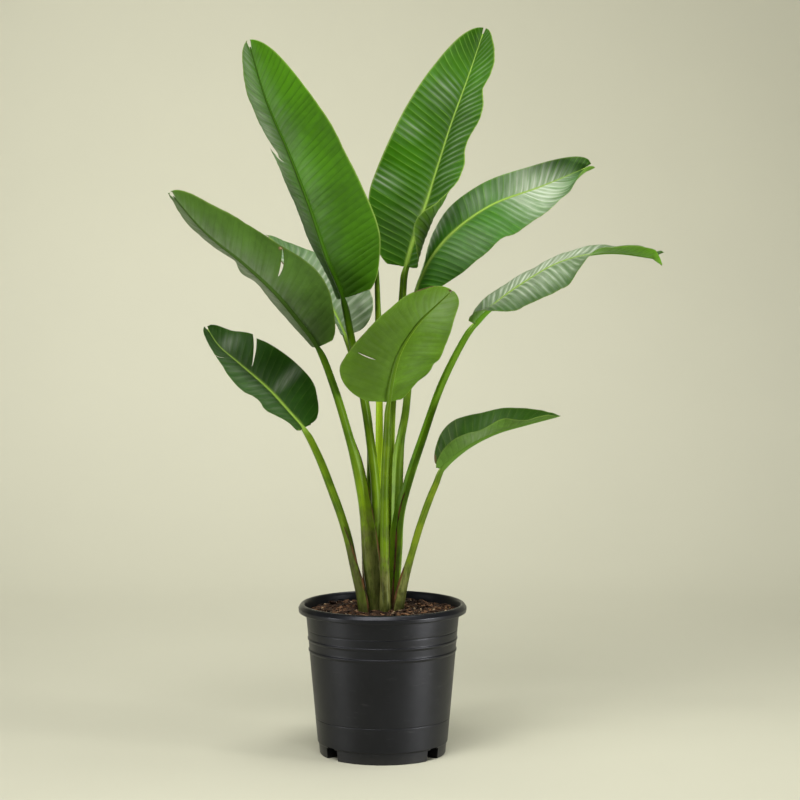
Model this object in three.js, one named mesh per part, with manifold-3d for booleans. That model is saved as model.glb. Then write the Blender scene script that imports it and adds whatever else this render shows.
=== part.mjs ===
// Potted bird of paradise: ten broad leaves on long stalks in a black nursery pot.
// Millimetres, +Z up, the viewer looks along +Y. The origin is on the floor, on the pot's axis.

import * as THREE from 'three';
import { mergeVertices } from 'three/addons/utils/BufferGeometryUtils.js';
import Module from 'manifold-3d';

const wasm = await Module();
wasm.setup();

const vec = (x, y, z) => new THREE.Vector3(x, y, z);
const UP = vec(0, 0, 1);

// Pot and soil

const FACETS = 40;
const JOINT_GAP = 0.35;
const DRAIN_ANGLES = [52, 128, 232, 308];
const DRAIN_WIDTH = 28;
const DRAIN_HEIGHT = 13;
const DRAIN_DEPTH = 24;
const DRAIN_RADIUS = 106;

// [radius, height] from the middle of the underside, up the outside and over the rim
const POT_OUTSIDE = [
  [0, 0], [97, 0], [102.6, 1.8], [105.6, 6], [106.4, 14.4], [107.4, 15.4],
  [111.2, 52], [110.7, 53], [111.4, 54], [121.2, 160.4], [122.7, 162],
  [123.2, 177], [124.2, 178.4], [124.7, 194.4], [125.9, 195.8], [128.3, 237],
  [137.8, 239.8], [140, 241.6], [139.8, 244.2], [138.6, 245.6], [138.9, 249],
  [137.2, 251.3], [134, 252],
];
// and from the rim's inner edge down to the floor of the pot
const POT_INSIDE = [
  [131, 251.2], [129.2, 248.6], [125.4, 236], [118.3, 160], [103.2, 6.6], [99, 3], [0, 3],
];

// The soil's outside, a joint's gap clear of the pot from its underside up to its top edge
const SOIL_OUTSIDE = [[0, 3.35], [98.7, 3.35], [102.8, 7], [117.9, 160], [124.3, 234]];
const SOIL_MOUND = 6;
const SOIL_RINGS = [114, 98, 82, 66, 50, 34, 17, 0];
const SOIL_LUMP = 1.8;
const SOIL_RIM_FADE = 6;

// Leaves

const BLADE_THICKNESS = 1.1;
const COLUMNS = 4;
const COLUMN_SHARES = [0.36, 0.7];
const BLADE_ROWS = 15;
const ROW_CROWDING = 0.6;
const BLADE_ENDS = [0.006, 0.998];
const VEIN_SWEEP = 0.08;
const VEIN_BEND = 1.6;
const LOBE_DROP = 0.02;
const LOBE_SPAN = 0.05;
const MIDRIB_WIDEST_SHARE = 0.3;
const MIDRIB_DEPTH = 1.3;
const MIDRIB_TIP = 1.2;

const STALK_STEP = 66;
const STALK_LIP = 1.2;
const BLADE_START = 4;
const HOLE_TOP = 262;
// Depths as shares of the half width, from the stalk's foot to its blade
const STALK_DEPTH = [1.5, 1.4, 1.5, 1.7, 1.7];
const CHANNEL_DEPTH = [0, 0.9, 0.6, 0.35, 0.3];

const TEAR_STEPS = 3;
const TEAR_OUTER_END = 1.12;
const TEAR_START_GAP = 0.2;
const CUT_REACH = 5;
const SLIT_PLACES = [0.93, 0.955, 0.98, 1];
const SLIT_BEYOND = 6;

// Each leaf is listed from its foot in the soil to its tip. stalk and rib are points on its
// centre line, and channel is where the stalk's open side looks at its foot. faces holds where
// the blade's upper side looks at its base, middle and tip. Half widths and stalk half widths
// are in millimetres, folds and curls in degrees. left and right are as seen from the upper
// side with the tip up. A wave is [side, place, spread, height, waves along the blade, phase],
// a swell of the outline is [side, place, spread, share], and a tear is [side, place, inner end, gap].
const LEAVES = [
  {
    name: 'leaf_tall_left', color: 0x47802a,
    stalk: [[-17, 9, 184], [-17, 9, 244], [-13, 5, 358], [-12, 0, 435], [-21, -10, 528],
      [-34, -19, 613], [-51, -26, 696]],
    rib: [[-65, -28, 763], [-90, -38, 825], [-120, -56, 916], [-150, -78, 997],
      [-184, -104, 1080], [-211, -134, 1175]],
    channel: [0.5, 1, 0], stalkHalf: [8, 9, 7.5, 6.5, 6],
    faces: [[0.1, 1, 0.1], [-0.1, 1, 0.2], [0, 1, 0.3]],
    left: 100, right: 66, widest: 0.2, tipPower: 1.5, tipExponent: 0.54, baseRound: 2.5,
    foldLeft: [10, 15, 20], foldRight: [55, 50, 30], curlLeft: [10, 10, 0], curlRight: [30, 40, 25],
    waves: [[1, 0.1, 0.12, 6, 2, 0]], swells: [[1, 0.48, 0.05, 0.25]],
    tears: [[1, 0.53, 0.25, 9]], slit: 5,
  },
  {
    name: 'leaf_tall_middle', color: 0x3f7d2c,
    stalk: [[-1, 19, 183], [-1, 19, 242], [7, 39, 356], [13, 45, 457], [16, 54, 557],
      [24, 64, 675], [34, 72, 759]],
    rib: [[39, 76, 813], [54, 84, 865], [80, 98, 940], [114, 118, 1047], [145, 138, 1133],
      [173, 158, 1216]],
    channel: [0, -1, 0], stalkHalf: [8, 8, 7, 6, 6],
    faces: [[-0.8, -0.5, 0.2], [-0.3, -0.9, 0.3], [-0.3, -0.9, 0.3]],
    left: 100, right: 92, widest: 0.21, tipPower: 1.2, tipExponent: 0.5, baseRound: 2,
    foldLeft: [30, 20, 20], foldRight: [55, 45, 20], curlLeft: [10, 5, -15], curlRight: [-35, -15, 15],
    waves: [], swells: [[1, 0.67, 0.05, -0.16], [1, 0.56, 0.05, 0.1], [1, 0.42, 0.06, -0.14]],
    tears: [], slit: 4,
  },
  {
    name: 'leaf_upper_right', color: 0x4c8643,
    stalk: [[18, 26, 181], [18, 26, 241], [25, 28, 355], [25, 29, 440], [27, 29, 508],
      [38, 31, 575], [46, 34, 676]],
    rib: [[53, 38, 765], [76, 46, 822], [113, 54, 867], [181, 70, 915], [267, 90, 947],
      [353, 106, 983]],
    channel: [-0.4, -1, 0], stalkHalf: [8, 8.5, 7.5, 6, 5.5],
    faces: [[0.3, -0.9, 0], [-0.2, -0.7, 0.7], [-0.1, -0.8, 0.6]],
    left: 42, right: 80, widest: 0.45, tipPower: 2, tipExponent: 0.37, baseRound: 1.9,
    foldLeft: [60, 20, 35], foldRight: [10, -5, 25], curlLeft: [60, 15, 10], curlRight: [10, 10, 25],
    waves: [[1, 0.45, 0.2, 4, 5, 0]], swells: [[-1, 0.2, 0.15, -0.3]], tears: [], slit: 6,
  },
  {
    name: 'leaf_far_right', color: 0x5b7f52,
    stalk: [[19, 5, 184], [19, 5, 244], [24, 3, 333], [29, 0, 401], [44, -5, 460],
      [66, -9, 528], [102, -12, 629]],
    rib: [[152, -15, 721], [182, -18, 752], [228, -26, 787], [293, -38, 824],
      [366, -50, 840], [455, -64, 839]],
    channel: [-1, -0.3, 0], stalkHalf: [9, 12, 8.5, 6.5, 5.5],
    faces: [[-0.8, -0.3, 0.6], [-0.4, -0.2, 0.9], [0, -0.2, 1]],
    left: 59, right: 84, widest: 0.25, tipPower: 1.2, tipExponent: 0.6, baseRound: 2,
    foldLeft: [10, 0, 5], foldRight: [50, 5, -10], curlLeft: [-10, -5, -15], curlRight: [-35, -30, 60],
    waves: [], swells: [[1, 0.2, 0.1, -0.15], [1, 0.5, 0.1, 0.3]], tears: [], slit: 8,
  },
  {
    name: 'leaf_low_right', color: 0x3d7030,
    stalk: [[28, -17, 188], [28, -17, 248], [35, -18, 289], [47, -21, 336], [62, -25, 387],
      [79, -30, 435], [90, -33, 462]],
    rib: [[97, -37, 484], [115, -40, 503], [145, -44, 525], [186, -50, 545], [235, -57, 559],
      [289, -66, 573]],
    channel: [-1, 0.3, 0], stalkHalf: [11, 11, 8, 6.5, 5.5],
    faces: [[-0.9, -0.2, 0.5], [-0.4, -0.2, 0.9], [-0.3, -0.1, 0.9]],
    left: 61, right: 55, widest: 0.23, tipPower: 1.6, tipExponent: 0.65, baseRound: 1.8,
    foldLeft: [30, 20, 20], foldRight: [40, 30, 25], curlLeft: [30, 10, -5], curlRight: [20, 10, 5],
    waves: [[1, 0.6, 0.25, 8, 3, 0.4]], swells: [], tears: [], slit: 3,
  },
  {
    name: 'leaf_front', color: 0x58903c,
    stalk: [[5, -26, 190], [5, -26, 249], [4, -28, 329], [4, -32, 405], [5, -37, 472],
      [8, -42, 531]],
    rib: [[11, -48, 595], [16, -56, 632], [29, -68, 679], [58, -84, 725], [94, -98, 762],
      [121, -106, 803]],
    channel: [0, 1, 0], stalkHalf: [8, 8, 7, 6, 5],
    faces: [[-0.4, 0.9, 0.2], [-0.3, 0.8, 0.5], [-0.4, 0.8, 0.4]],
    left: 82, right: 92, widest: 0.2, tipPower: 1.4, tipExponent: 0.98, baseRound: 2.2,
    foldLeft: [30, -5, -5], foldRight: [15, -10, -5], curlLeft: [0, 15, -5], curlRight: [10, -5, -5],
    waves: [[-1, 0.35, 0.15, 4, 4, 0]], swells: [], tears: [], slit: 3,
  },
  {
    name: 'leaf_middle_left', color: 0x4c7438,
    stalk: [[-14, -10, 187], [-14, -10, 246], [-22, -12, 326], [-29, -14, 403], [-41, -20, 476],
      [-59, -27, 546], [-80, -34, 617]],
    rib: [[-106, -42, 684], [-136, -52, 726], [-176, -66, 775], [-224, -84, 821],
      [-286, -108, 874], [-337, -132, 936]],
    channel: [0.5, 1, 0], stalkHalf: [8, 14, 9, 6.5, 5.5],
    faces: [[0.3, 0.9, 0.3], [0.1, 0.9, 0.5], [0.1, 0.9, 0.5]],
    left: 76, right: 66, widest: 0.23, tipPower: 1.2, tipExponent: 0.55, baseRound: 2.2,
    foldLeft: [0, 45, 40], foldRight: [40, 45, 35], curlLeft: [5, 25, 20], curlRight: [20, 20, 50],
    waves: [[1, 0.5, 0.08, 9, 4, 0]], swells: [], tears: [[-1, 0.42, 0.35, 4]], slit: 7,
  },
  {
    name: 'leaf_low_left', color: 0x2f5f27,
    stalk: [[-33, -12, 188], [-33, -12, 247], [-48, -11, 321], [-66, -7, 390], [-87, -1, 448],
      [-108, 6, 501]],
    rib: [[-132, 16, 546], [-156, 19, 574], [-190, 24, 611], [-240, 32, 654],
      [-274, 39, 683], [-295, 46, 714]],
    channel: [1, 0.3, 0], stalkHalf: [11, 10.5, 7.5, 6.5, 5.5],
    faces: [[0.4, -0.8, 0.4], [0.3, -0.8, 0.5], [0.5, -0.7, 0.5]],
    left: 61, right: 64, widest: 0.21, tipPower: 1.7, tipExponent: 0.49, baseRound: 2.2,
    foldLeft: [35, 25, 25], foldRight: [30, 25, 10], curlLeft: [25, 10, 25], curlRight: [15, 10, 0],
    waves: [[-1, 0.3, 0.15, 6, 3, 0.1]], swells: [],
    tears: [[1, 0.62, 0.12, 6], [-1, 0.72, 0.5, 2.5]], slit: 5,
  },
  {
    name: 'leaf_back_left', color: 0x5d8560,
    stalk: [[-26, 31, 180], [-26, 31, 240], [-29, 38, 354], [-22, 44, 455], [-23, 48, 540],
      [-35, 54, 611], [-51, 60, 661]],
    rib: [[-64, 66, 698], [-83, 72, 739], [-107, 80, 776], [-134, 90, 809], [-164, 102, 838],
      [-197, 116, 865]],
    channel: [0.6, -0.8, 0], stalkHalf: [8, 8, 6.5, 5.5, 5],
    faces: [[0.5, -0.8, 0.3], [0.4, -0.7, 0.5], [0.4, -0.5, 0.8]],
    left: 70, right: 75, widest: 0.24, tipPower: 1.4, tipExponent: 0.8, baseRound: 2.5,
    foldLeft: [45, 25, 5], foldRight: [25, 0, -5], curlLeft: [15, 10, 0], curlRight: [10, 0, -20],
    waves: [], swells: [], tears: [], slit: 3,
  },
];

// The youngest leaf, still rolled up: points on its centre line and its radius at them
const SPEAR_PATH = [
  [-8, 38, 182], [-8, 38, 242], [-11, 39, 330], [-8, 36, 400], [-7, 28, 560], [-7, 22, 700],
  [-8, 20, 770], [-10, 18, 830], [-13, 17, 852],
];
const SPEAR_RADIUS = [7, 7, 6.5, 6, 5, 4.6, 5.2, 4, 1];
const SPEAR_SIDES = 10;
const SPEAR_STEPS = 14;

// Values spread evenly along 0 to 1, joined by smooth steps
function along(values, t) {
  const x = THREE.MathUtils.clamp(t, 0, 1) * (values.length - 1);
  const i = Math.min(Math.floor(x), values.length - 2);
  return THREE.MathUtils.lerp(values[i], values[i + 1], THREE.MathUtils.smoothstep(x - i, 0, 1));
}

function directionAlong(directions, t) {
  const [x, y, z] = [0, 1, 2].map((axis) => along(directions.map((d) => d[axis]), t));
  return vec(x, y, z);
}

// A closed slab between two grids of points with the same rows and columns. Both faces split
// their squares along the same diagonals, so the slab keeps its thickness where it is waved.
function slab(upper, lower) {
  const rows = upper.length;
  const columns = upper[0].length;
  const points = [...upper.flat(), ...lower.flat()];
  const top = (i, j) => i * columns + j;
  const under = (i, j) => (rows + i) * columns + j;
  const index = [];
  const quad = (a, b, c, d) => index.push(a, b, c, a, c, d);
  for (let i = 0; i + 1 < rows; i++) {
    for (let j = 0; j + 1 < columns; j++) {
      quad(top(i, j), top(i, j + 1), top(i + 1, j + 1), top(i + 1, j));
      index.push(under(i, j), under(i + 1, j + 1), under(i, j + 1));
      index.push(under(i, j), under(i + 1, j), under(i + 1, j + 1));
    }
    quad(under(i, columns - 1), under(i + 1, columns - 1), top(i + 1, columns - 1), top(i, columns - 1));
    quad(under(i, 0), top(i, 0), top(i + 1, 0), under(i + 1, 0));
  }
  for (let j = 0; j + 1 < columns; j++) {
    quad(under(0, j), under(0, j + 1), top(0, j + 1), top(0, j));
    quad(under(rows - 1, j), top(rows - 1, j), top(rows - 1, j + 1), under(rows - 1, j + 1));
  }
  let volume = 0;
  for (let k = 0; k < index.length; k += 3) {
    const [a, b, c] = [points[index[k]], points[index[k + 1]], points[index[k + 2]]];
    volume += a.dot(b.clone().cross(c));
  }
  if (volume < 0) index.reverse();
  return new wasm.Manifold(new wasm.Mesh({
    numProp: 3,
    vertProperties: new Float32Array(points.flatMap((p) => p.toArray())),
    triVerts: new Uint32Array(index),
  }));
}

// A three.js geometry as a solid
function solid(geometry) {
  const bare = geometry.clone();
  bare.deleteAttribute('normal');
  bare.deleteAttribute('uv');
  const merged = mergeVertices(bare, 1e-4);
  return new wasm.Manifold(new wasm.Mesh({
    numProp: 3,
    vertProperties: new Float32Array(merged.attributes.position.array),
    triVerts: new Uint32Array(merged.index.array),
  }));
}

function revolve(profile) {
  const geometry = new THREE.LatheGeometry(profile.map(([r, z]) => new THREE.Vector2(r, z)), FACETS);
  geometry.rotateX(Math.PI / 2);
  return geometry;
}

function meshOf(name, manifold, look) {
  const { vertProperties, triVerts } = manifold.getMesh();
  const geometry = new THREE.BufferGeometry();
  geometry.setAttribute('position', new THREE.BufferAttribute(new Float32Array(vertProperties), 3));
  geometry.setIndex(new THREE.BufferAttribute(new Uint32Array(triVerts), 1));
  geometry.computeVertexNormals();
  const mesh = new THREE.Mesh(geometry, new THREE.MeshStandardMaterial(look));
  mesh.name = name;
  return mesh;
}

// The leaf's centre line, measured in millimetres from the base of its blade
function centreLine(leaf) {
  const points = [...leaf.stalk, ...leaf.rib].map((p) => vec(...p));
  const curve = new THREE.CatmullRomCurve3(points, false, 'centripetal');
  const stepsEach = 40;
  curve.arcLengthDivisions = stepsEach * (points.length - 1);
  const lengths = curve.getLengths();
  const whole = lengths[lengths.length - 1];
  const stalkLength = lengths[stepsEach * leaf.stalk.length];
  const bladeLength = whole - stalkLength;
  const at = (s) => curve.getPointAt(THREE.MathUtils.clamp((s + stalkLength) / whole, 0, 1));
  return { at, stalkLength, bladeLength };
}

// Along the centre line, out of the upper side, and towards the leaf's right
function frameAt(leaf, line, s) {
  const reach = 4;
  const middle = THREE.MathUtils.clamp(s, reach - line.stalkLength, line.bladeLength - reach);
  const tangent = line.at(middle + reach).sub(line.at(middle - reach)).normalize();
  const facing = s < 0
    ? vec(...leaf.channel).normalize().lerp(vec(...leaf.faces[0]).normalize(),
      THREE.MathUtils.smoothstep(1 + s / line.stalkLength, 0.1, 0.95))
    : directionAlong(leaf.faces, s / line.bladeLength);
  const normal = facing.addScaledVector(tangent, -facing.dot(tangent)).normalize();
  return { tangent, normal, side: tangent.clone().cross(normal) };
}

// Half width of the blade as a share of its widest, for r from 0 at the base to 1 at the tip
function outline(leaf, r, side) {
  let share;
  if (r < leaf.widest) {
    share = (1 - (1 - r / leaf.widest) ** leaf.baseRound) ** (1 / leaf.baseRound);
  } else {
    const q = (r - leaf.widest) / (1 - leaf.widest);
    share = Math.max(0, 1 - q ** leaf.tipPower) ** leaf.tipExponent;
  }
  for (const [swellSide, place, spread, amount] of leaf.swells) {
    if (swellSide === side) share *= 1 + amount * Math.exp(-(((r - place) / spread) ** 2));
  }
  return share;
}

// A point on the blade's middle surface. v runs from -1 at the left margin to 1 at the right.
// The rows follow the side veins, which sweep towards the tip.
function bladePoint(leaf, line, r, v) {
  const side = v < 0 ? -1 : 1;
  const share = Math.abs(v);
  const half = side < 0 ? leaf.left : leaf.right;
  const sweep = VEIN_SWEEP * Math.sin(Math.PI * r ** 0.9) * share ** VEIN_BEND;
  const lobe = LOBE_DROP * Math.exp(-((r / LOBE_SPAN) ** 2)) * share;
  const s = line.bladeLength * (r + sweep - lobe);
  const q = s / line.bladeLength;
  const flattest = 0.5;
  const fold = THREE.MathUtils.degToRad(along(side < 0 ? leaf.foldLeft : leaf.foldRight, q));
  const degrees = along(side < 0 ? leaf.curlLeft : leaf.curlRight, q);
  const curl = THREE.MathUtils.degToRad(Math.abs(degrees) < flattest ? flattest : degrees);
  const angle = fold + curl * share * outline(leaf, r, side);
  let across = (half / curl) * (Math.sin(angle) - Math.sin(fold));
  let out = -(half / curl) * (Math.cos(angle) - Math.cos(fold));
  for (const [waveSide, place, spread, height, waves, phase] of leaf.waves) {
    if (waveSide !== side) continue;
    const swell = height * share ** 2 * Math.exp(-(((q - place) / spread) ** 2))
      * Math.sin(2 * Math.PI * (waves * q + phase));
    across -= swell * Math.sin(angle);
    out += swell * Math.cos(angle);
  }
  const frame = frameAt(leaf, line, Math.max(0, s));
  return line.at(Math.max(0, s)).addScaledVector(frame.side, side * across)
    .addScaledVector(frame.normal, out);
}

function bladeNormal(leaf, line, r, v) {
  const step = 0.01;
  const inner = Math.max(-1 + step, Math.min(1 - step, v));
  const alongRib = bladePoint(leaf, line, Math.min(1, r + step), inner)
    .sub(bladePoint(leaf, line, Math.max(0, r - step), inner));
  const acrossRib = bladePoint(leaf, line, r, inner + step)
    .sub(bladePoint(leaf, line, r, inner - step));
  return acrossRib.cross(alongRib).normalize();
}

// One cross-section of the stalk: an open channel on its upper side and a round back
function stalkSection(leaf, line, s, grow = 0) {
  const t = 1 + s / line.stalkLength;
  const half = along(leaf.stalkHalf, t);
  const depth = half * along(STALK_DEPTH, t);
  const channel = grow > 0 ? 0 : half * along(CHANNEL_DEPTH, t);
  const { normal, side } = frameAt(leaf, line, s);
  const centre = line.at(s);
  const place = (x, z) => centre.clone().addScaledVector(side, x).addScaledVector(normal, z);
  const upper = [];
  const lower = [];
  for (let j = -COLUMNS; j <= COLUMNS; j++) {
    const share = j / COLUMNS;
    const turn = share * Math.PI / 2;
    upper.push(place((half + grow) * share, depth / 2 + grow - channel * (1 - share ** 2)));
    lower.push(place((half + grow) * Math.sin(turn),
      depth / 2 - STALK_LIP - (depth - STALK_LIP + grow) * Math.cos(turn)));
  }
  return { upper, lower };
}

// One cross-section of the blade, with the midrib standing out under it
function bladeSection(leaf, line, r) {
  const stalkHalf = leaf.stalkHalf.at(-1);
  const halfWidth = Math.max(leaf.left, leaf.right) * outline(leaf, r, 0);
  const ribHalf = THREE.MathUtils.lerp(stalkHalf, MIDRIB_TIP, r);
  const ribDepth = THREE.MathUtils.lerp(stalkHalf * MIDRIB_DEPTH, MIDRIB_TIP / 2, r ** 0.8);
  const edge = Math.min(MIDRIB_WIDEST_SHARE, ribHalf / (halfWidth + 1));
  const shares = [0, edge, ...COLUMN_SHARES.map((share) => edge + share * (1 - edge)), 1];
  const upper = [];
  const lower = [];
  for (let j = -COLUMNS; j <= COLUMNS; j++) {
    const v = Math.sign(j) * shares[Math.abs(j)];
    const point = bladePoint(leaf, line, r, v);
    const normal = bladeNormal(leaf, line, r, v);
    const keel = j === 0 ? ribDepth : 0;
    upper.push(point.clone().addScaledVector(normal, BLADE_THICKNESS / 2));
    lower.push(point.clone().addScaledVector(normal, -BLADE_THICKNESS / 2 - keel));
  }
  return { upper, lower };
}

// A wedge through the blade along a line of [r, v] places that opens towards its last place
function tearCutter(leaf, line, places, gap, beyond = 0) {
  const sheets = [[], []];
  places.forEach(([r, v], i) => {
    const point = bladePoint(leaf, line, r, v);
    if (i === places.length - 1) {
      point.addScaledVector(frameAt(leaf, line, line.bladeLength).tangent, beyond);
    }
    const normal = bladeNormal(leaf, line, r, v);
    const next = places[Math.min(i + 1, places.length - 1)];
    const last = places[Math.max(i - 1, 0)];
    const run = bladePoint(leaf, line, ...next).sub(bladePoint(leaf, line, ...last)).normalize();
    const halfGap = TEAR_START_GAP + gap / 2 * i / (places.length - 1);
    const sideways = run.cross(normal).multiplyScalar(halfGap);
    [1, -1].forEach((face, k) => {
      const edge = point.clone().addScaledVector(normal, face * CUT_REACH);
      sheets[k].push([-1, 1].map((way) => edge.clone().addScaledVector(sideways, way)));
    });
  });
  return slab(...sheets);
}

function growLeaf(leaf) {
  const line = centreLine(leaf);
  const stalkRows = Math.round(line.stalkLength / STALK_STEP);
  const stalkStations = [];
  for (let i = 0; i < stalkRows; i++) stalkStations.push(line.stalkLength * (i / stalkRows - 1));
  stalkStations.push(-BLADE_START);
  const sections = stalkStations.map((s) => stalkSection(leaf, line, s));
  for (let i = 0; i <= BLADE_ROWS; i++) {
    const t = i / BLADE_ROWS;
    const r = THREE.MathUtils.lerp(t, (1 - Math.cos(Math.PI * t)) / 2, ROW_CROWDING);
    sections.push(bladeSection(leaf, line, THREE.MathUtils.clamp(r, ...BLADE_ENDS)));
  }
  let body = slab(sections.map((s) => s.upper), sections.map((s) => s.lower));
  for (const [side, place, inner, gap] of leaf.tears) {
    const places = [];
    for (let i = 0; i <= TEAR_STEPS; i++) {
      places.push([place, side * THREE.MathUtils.lerp(inner, TEAR_OUTER_END, i / TEAR_STEPS)]);
    }
    body = body.subtract(tearCutter(leaf, line, places, gap));
  }
  const slitPlaces = SLIT_PLACES.map((r) => [r, 0]);
  body = body.subtract(tearCutter(leaf, line, slitPlaces, leaf.slit, SLIT_BEYOND));

  // The plain hole that the foot of the stalk stands in
  const holeEnd = stalkStations.findIndex((s) => line.at(s).z > HOLE_TOP);
  const holeSections = stalkStations.slice(0, holeEnd + 1)
    .map((s) => stalkSection(leaf, line, s, JOINT_GAP));
  for (const face of [holeSections[0].upper, holeSections[0].lower]) {
    face.forEach((p) => p.addScaledVector(UP, -JOINT_GAP));
  }
  const hole = slab(holeSections.map((s) => s.upper), holeSections.map((s) => s.lower));
  return { body, hole };
}

// The rolled leaf: a round tapering spear with a fold line down its front
function growSpear(extra) {
  const curve = new THREE.CatmullRomCurve3(SPEAR_PATH.map((p) => vec(...p)), false, 'centripetal');
  const upper = [];
  const lower = [];
  for (let i = 0; i <= SPEAR_STEPS; i++) {
    const t = i / SPEAR_STEPS;
    const centre = curve.getPoint(t);
    if (extra > 0 && centre.z > HOLE_TOP) break;
    if (extra > 0 && i === 0) centre.z -= extra;
    const radius = along(SPEAR_RADIUS, t) + extra;
    const ring = [];
    for (let k = 0; k < SPEAR_SIDES; k++) {
      const turn = (k + 0.5) / SPEAR_SIDES * 2 * Math.PI;
      ring.push(centre.clone().add(vec(radius * Math.cos(turn), radius * Math.sin(turn), 0)));
    }
    upper.push(ring.slice(0, SPEAR_SIDES / 2));
    lower.push(ring.slice(SPEAR_SIDES / 2).reverse());
  }
  return slab(upper, lower);
}

function growPot() {
  let pot = solid(revolve([...POT_OUTSIDE, ...POT_INSIDE]));
  for (const degrees of DRAIN_ANGLES) {
    const box = new THREE.BoxGeometry(DRAIN_WIDTH, DRAIN_DEPTH, 2 * DRAIN_HEIGHT);
    box.translate(0, -DRAIN_RADIUS, 0);
    box.rotateZ(THREE.MathUtils.degToRad(degrees));
    pot = pot.subtract(solid(box));
  }
  return pot;
}

// Low lumps of bark and crumb, as a height over the soil's surface
function soilLump(x, y) {
  return SOIL_LUMP * (Math.sin(0.21 * x + 1.3 * Math.sin(0.13 * y))
    + Math.sin(0.24 * y + 2 + 1.5 * Math.sin(0.11 * x)));
}

function growSoil(holes) {
  const [edgeRadius, top] = SOIL_OUTSIDE.at(-1);
  const rings = SOIL_RINGS.map((r) => [r, top]);
  const geometry = revolve([...SOIL_OUTSIDE, ...rings]);
  const position = geometry.attributes.position;
  for (let i = 0; i < position.count; i++) {
    const [x, y, z] = [position.getX(i), position.getY(i), position.getZ(i)];
    const inward = 1 - Math.hypot(x, y) / edgeRadius;
    if (z < top - 0.1 || inward < 0.02) continue;
    const lump = soilLump(x, y) * Math.min(1, SOIL_RIM_FADE * inward);
    position.setZ(i, z + SOIL_MOUND * Math.sqrt(inward) + lump);
  }
  return holes.reduce((soil, hole) => soil.subtract(hole), solid(geometry));
}

const plant = new THREE.Group();
plant.name = 'potted_bird_of_paradise';
plant.add(meshOf('pot', growPot(), { color: 0x2b2c2e, roughness: 0.5, metalness: 0 }));
const holes = [growSpear(JOINT_GAP)];
for (const leaf of LEAVES) {
  const { body, hole } = growLeaf(leaf);
  holes.push(hole);
  plant.add(meshOf(leaf.name, body, { color: leaf.color, roughness: 0.4, metalness: 0 }));
}
plant.add(meshOf('leaf_new_spear', growSpear(0), { color: 0x8fb53a, roughness: 0.45, metalness: 0 }));
plant.add(meshOf('soil', growSoil(holes), { color: 0x4a3426, roughness: 0.95, metalness: 0 }));

export default plant;
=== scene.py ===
"""Potted bird of paradise: paddle leaves on long stalks, soil and nursery pot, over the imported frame."""

import math
import random
from collections import namedtuple

import bmesh
import bpy
from bpy.props import FloatProperty, FloatVectorProperty, IntProperty, PointerProperty
from bpy.types import Operator, Panel, PropertyGroup
from mathutils import Matrix, Vector, noise


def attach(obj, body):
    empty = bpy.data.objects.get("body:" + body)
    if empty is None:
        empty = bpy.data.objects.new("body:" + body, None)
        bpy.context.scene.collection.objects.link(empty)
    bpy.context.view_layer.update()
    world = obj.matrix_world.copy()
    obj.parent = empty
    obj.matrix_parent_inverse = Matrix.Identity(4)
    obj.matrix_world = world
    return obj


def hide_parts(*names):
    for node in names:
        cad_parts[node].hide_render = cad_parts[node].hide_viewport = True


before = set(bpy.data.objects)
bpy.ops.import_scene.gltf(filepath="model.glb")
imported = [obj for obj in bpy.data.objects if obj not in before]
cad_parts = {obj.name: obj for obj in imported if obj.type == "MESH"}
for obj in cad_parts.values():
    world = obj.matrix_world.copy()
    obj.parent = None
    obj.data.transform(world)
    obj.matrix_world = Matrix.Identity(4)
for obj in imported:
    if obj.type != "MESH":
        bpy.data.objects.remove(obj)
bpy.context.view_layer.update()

bl_info = {
    "name": "Potted bird of paradise",
    "version": (1, 0, 0),
    "blender": (4, 5, 0),
    "location": "3D View > Sidebar > Plant",
    "description": "Grows paddle leaves on long stalks and stands them in soil in a nursery pot",
    "category": "Add Mesh",
}

MM = 0.001

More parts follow.
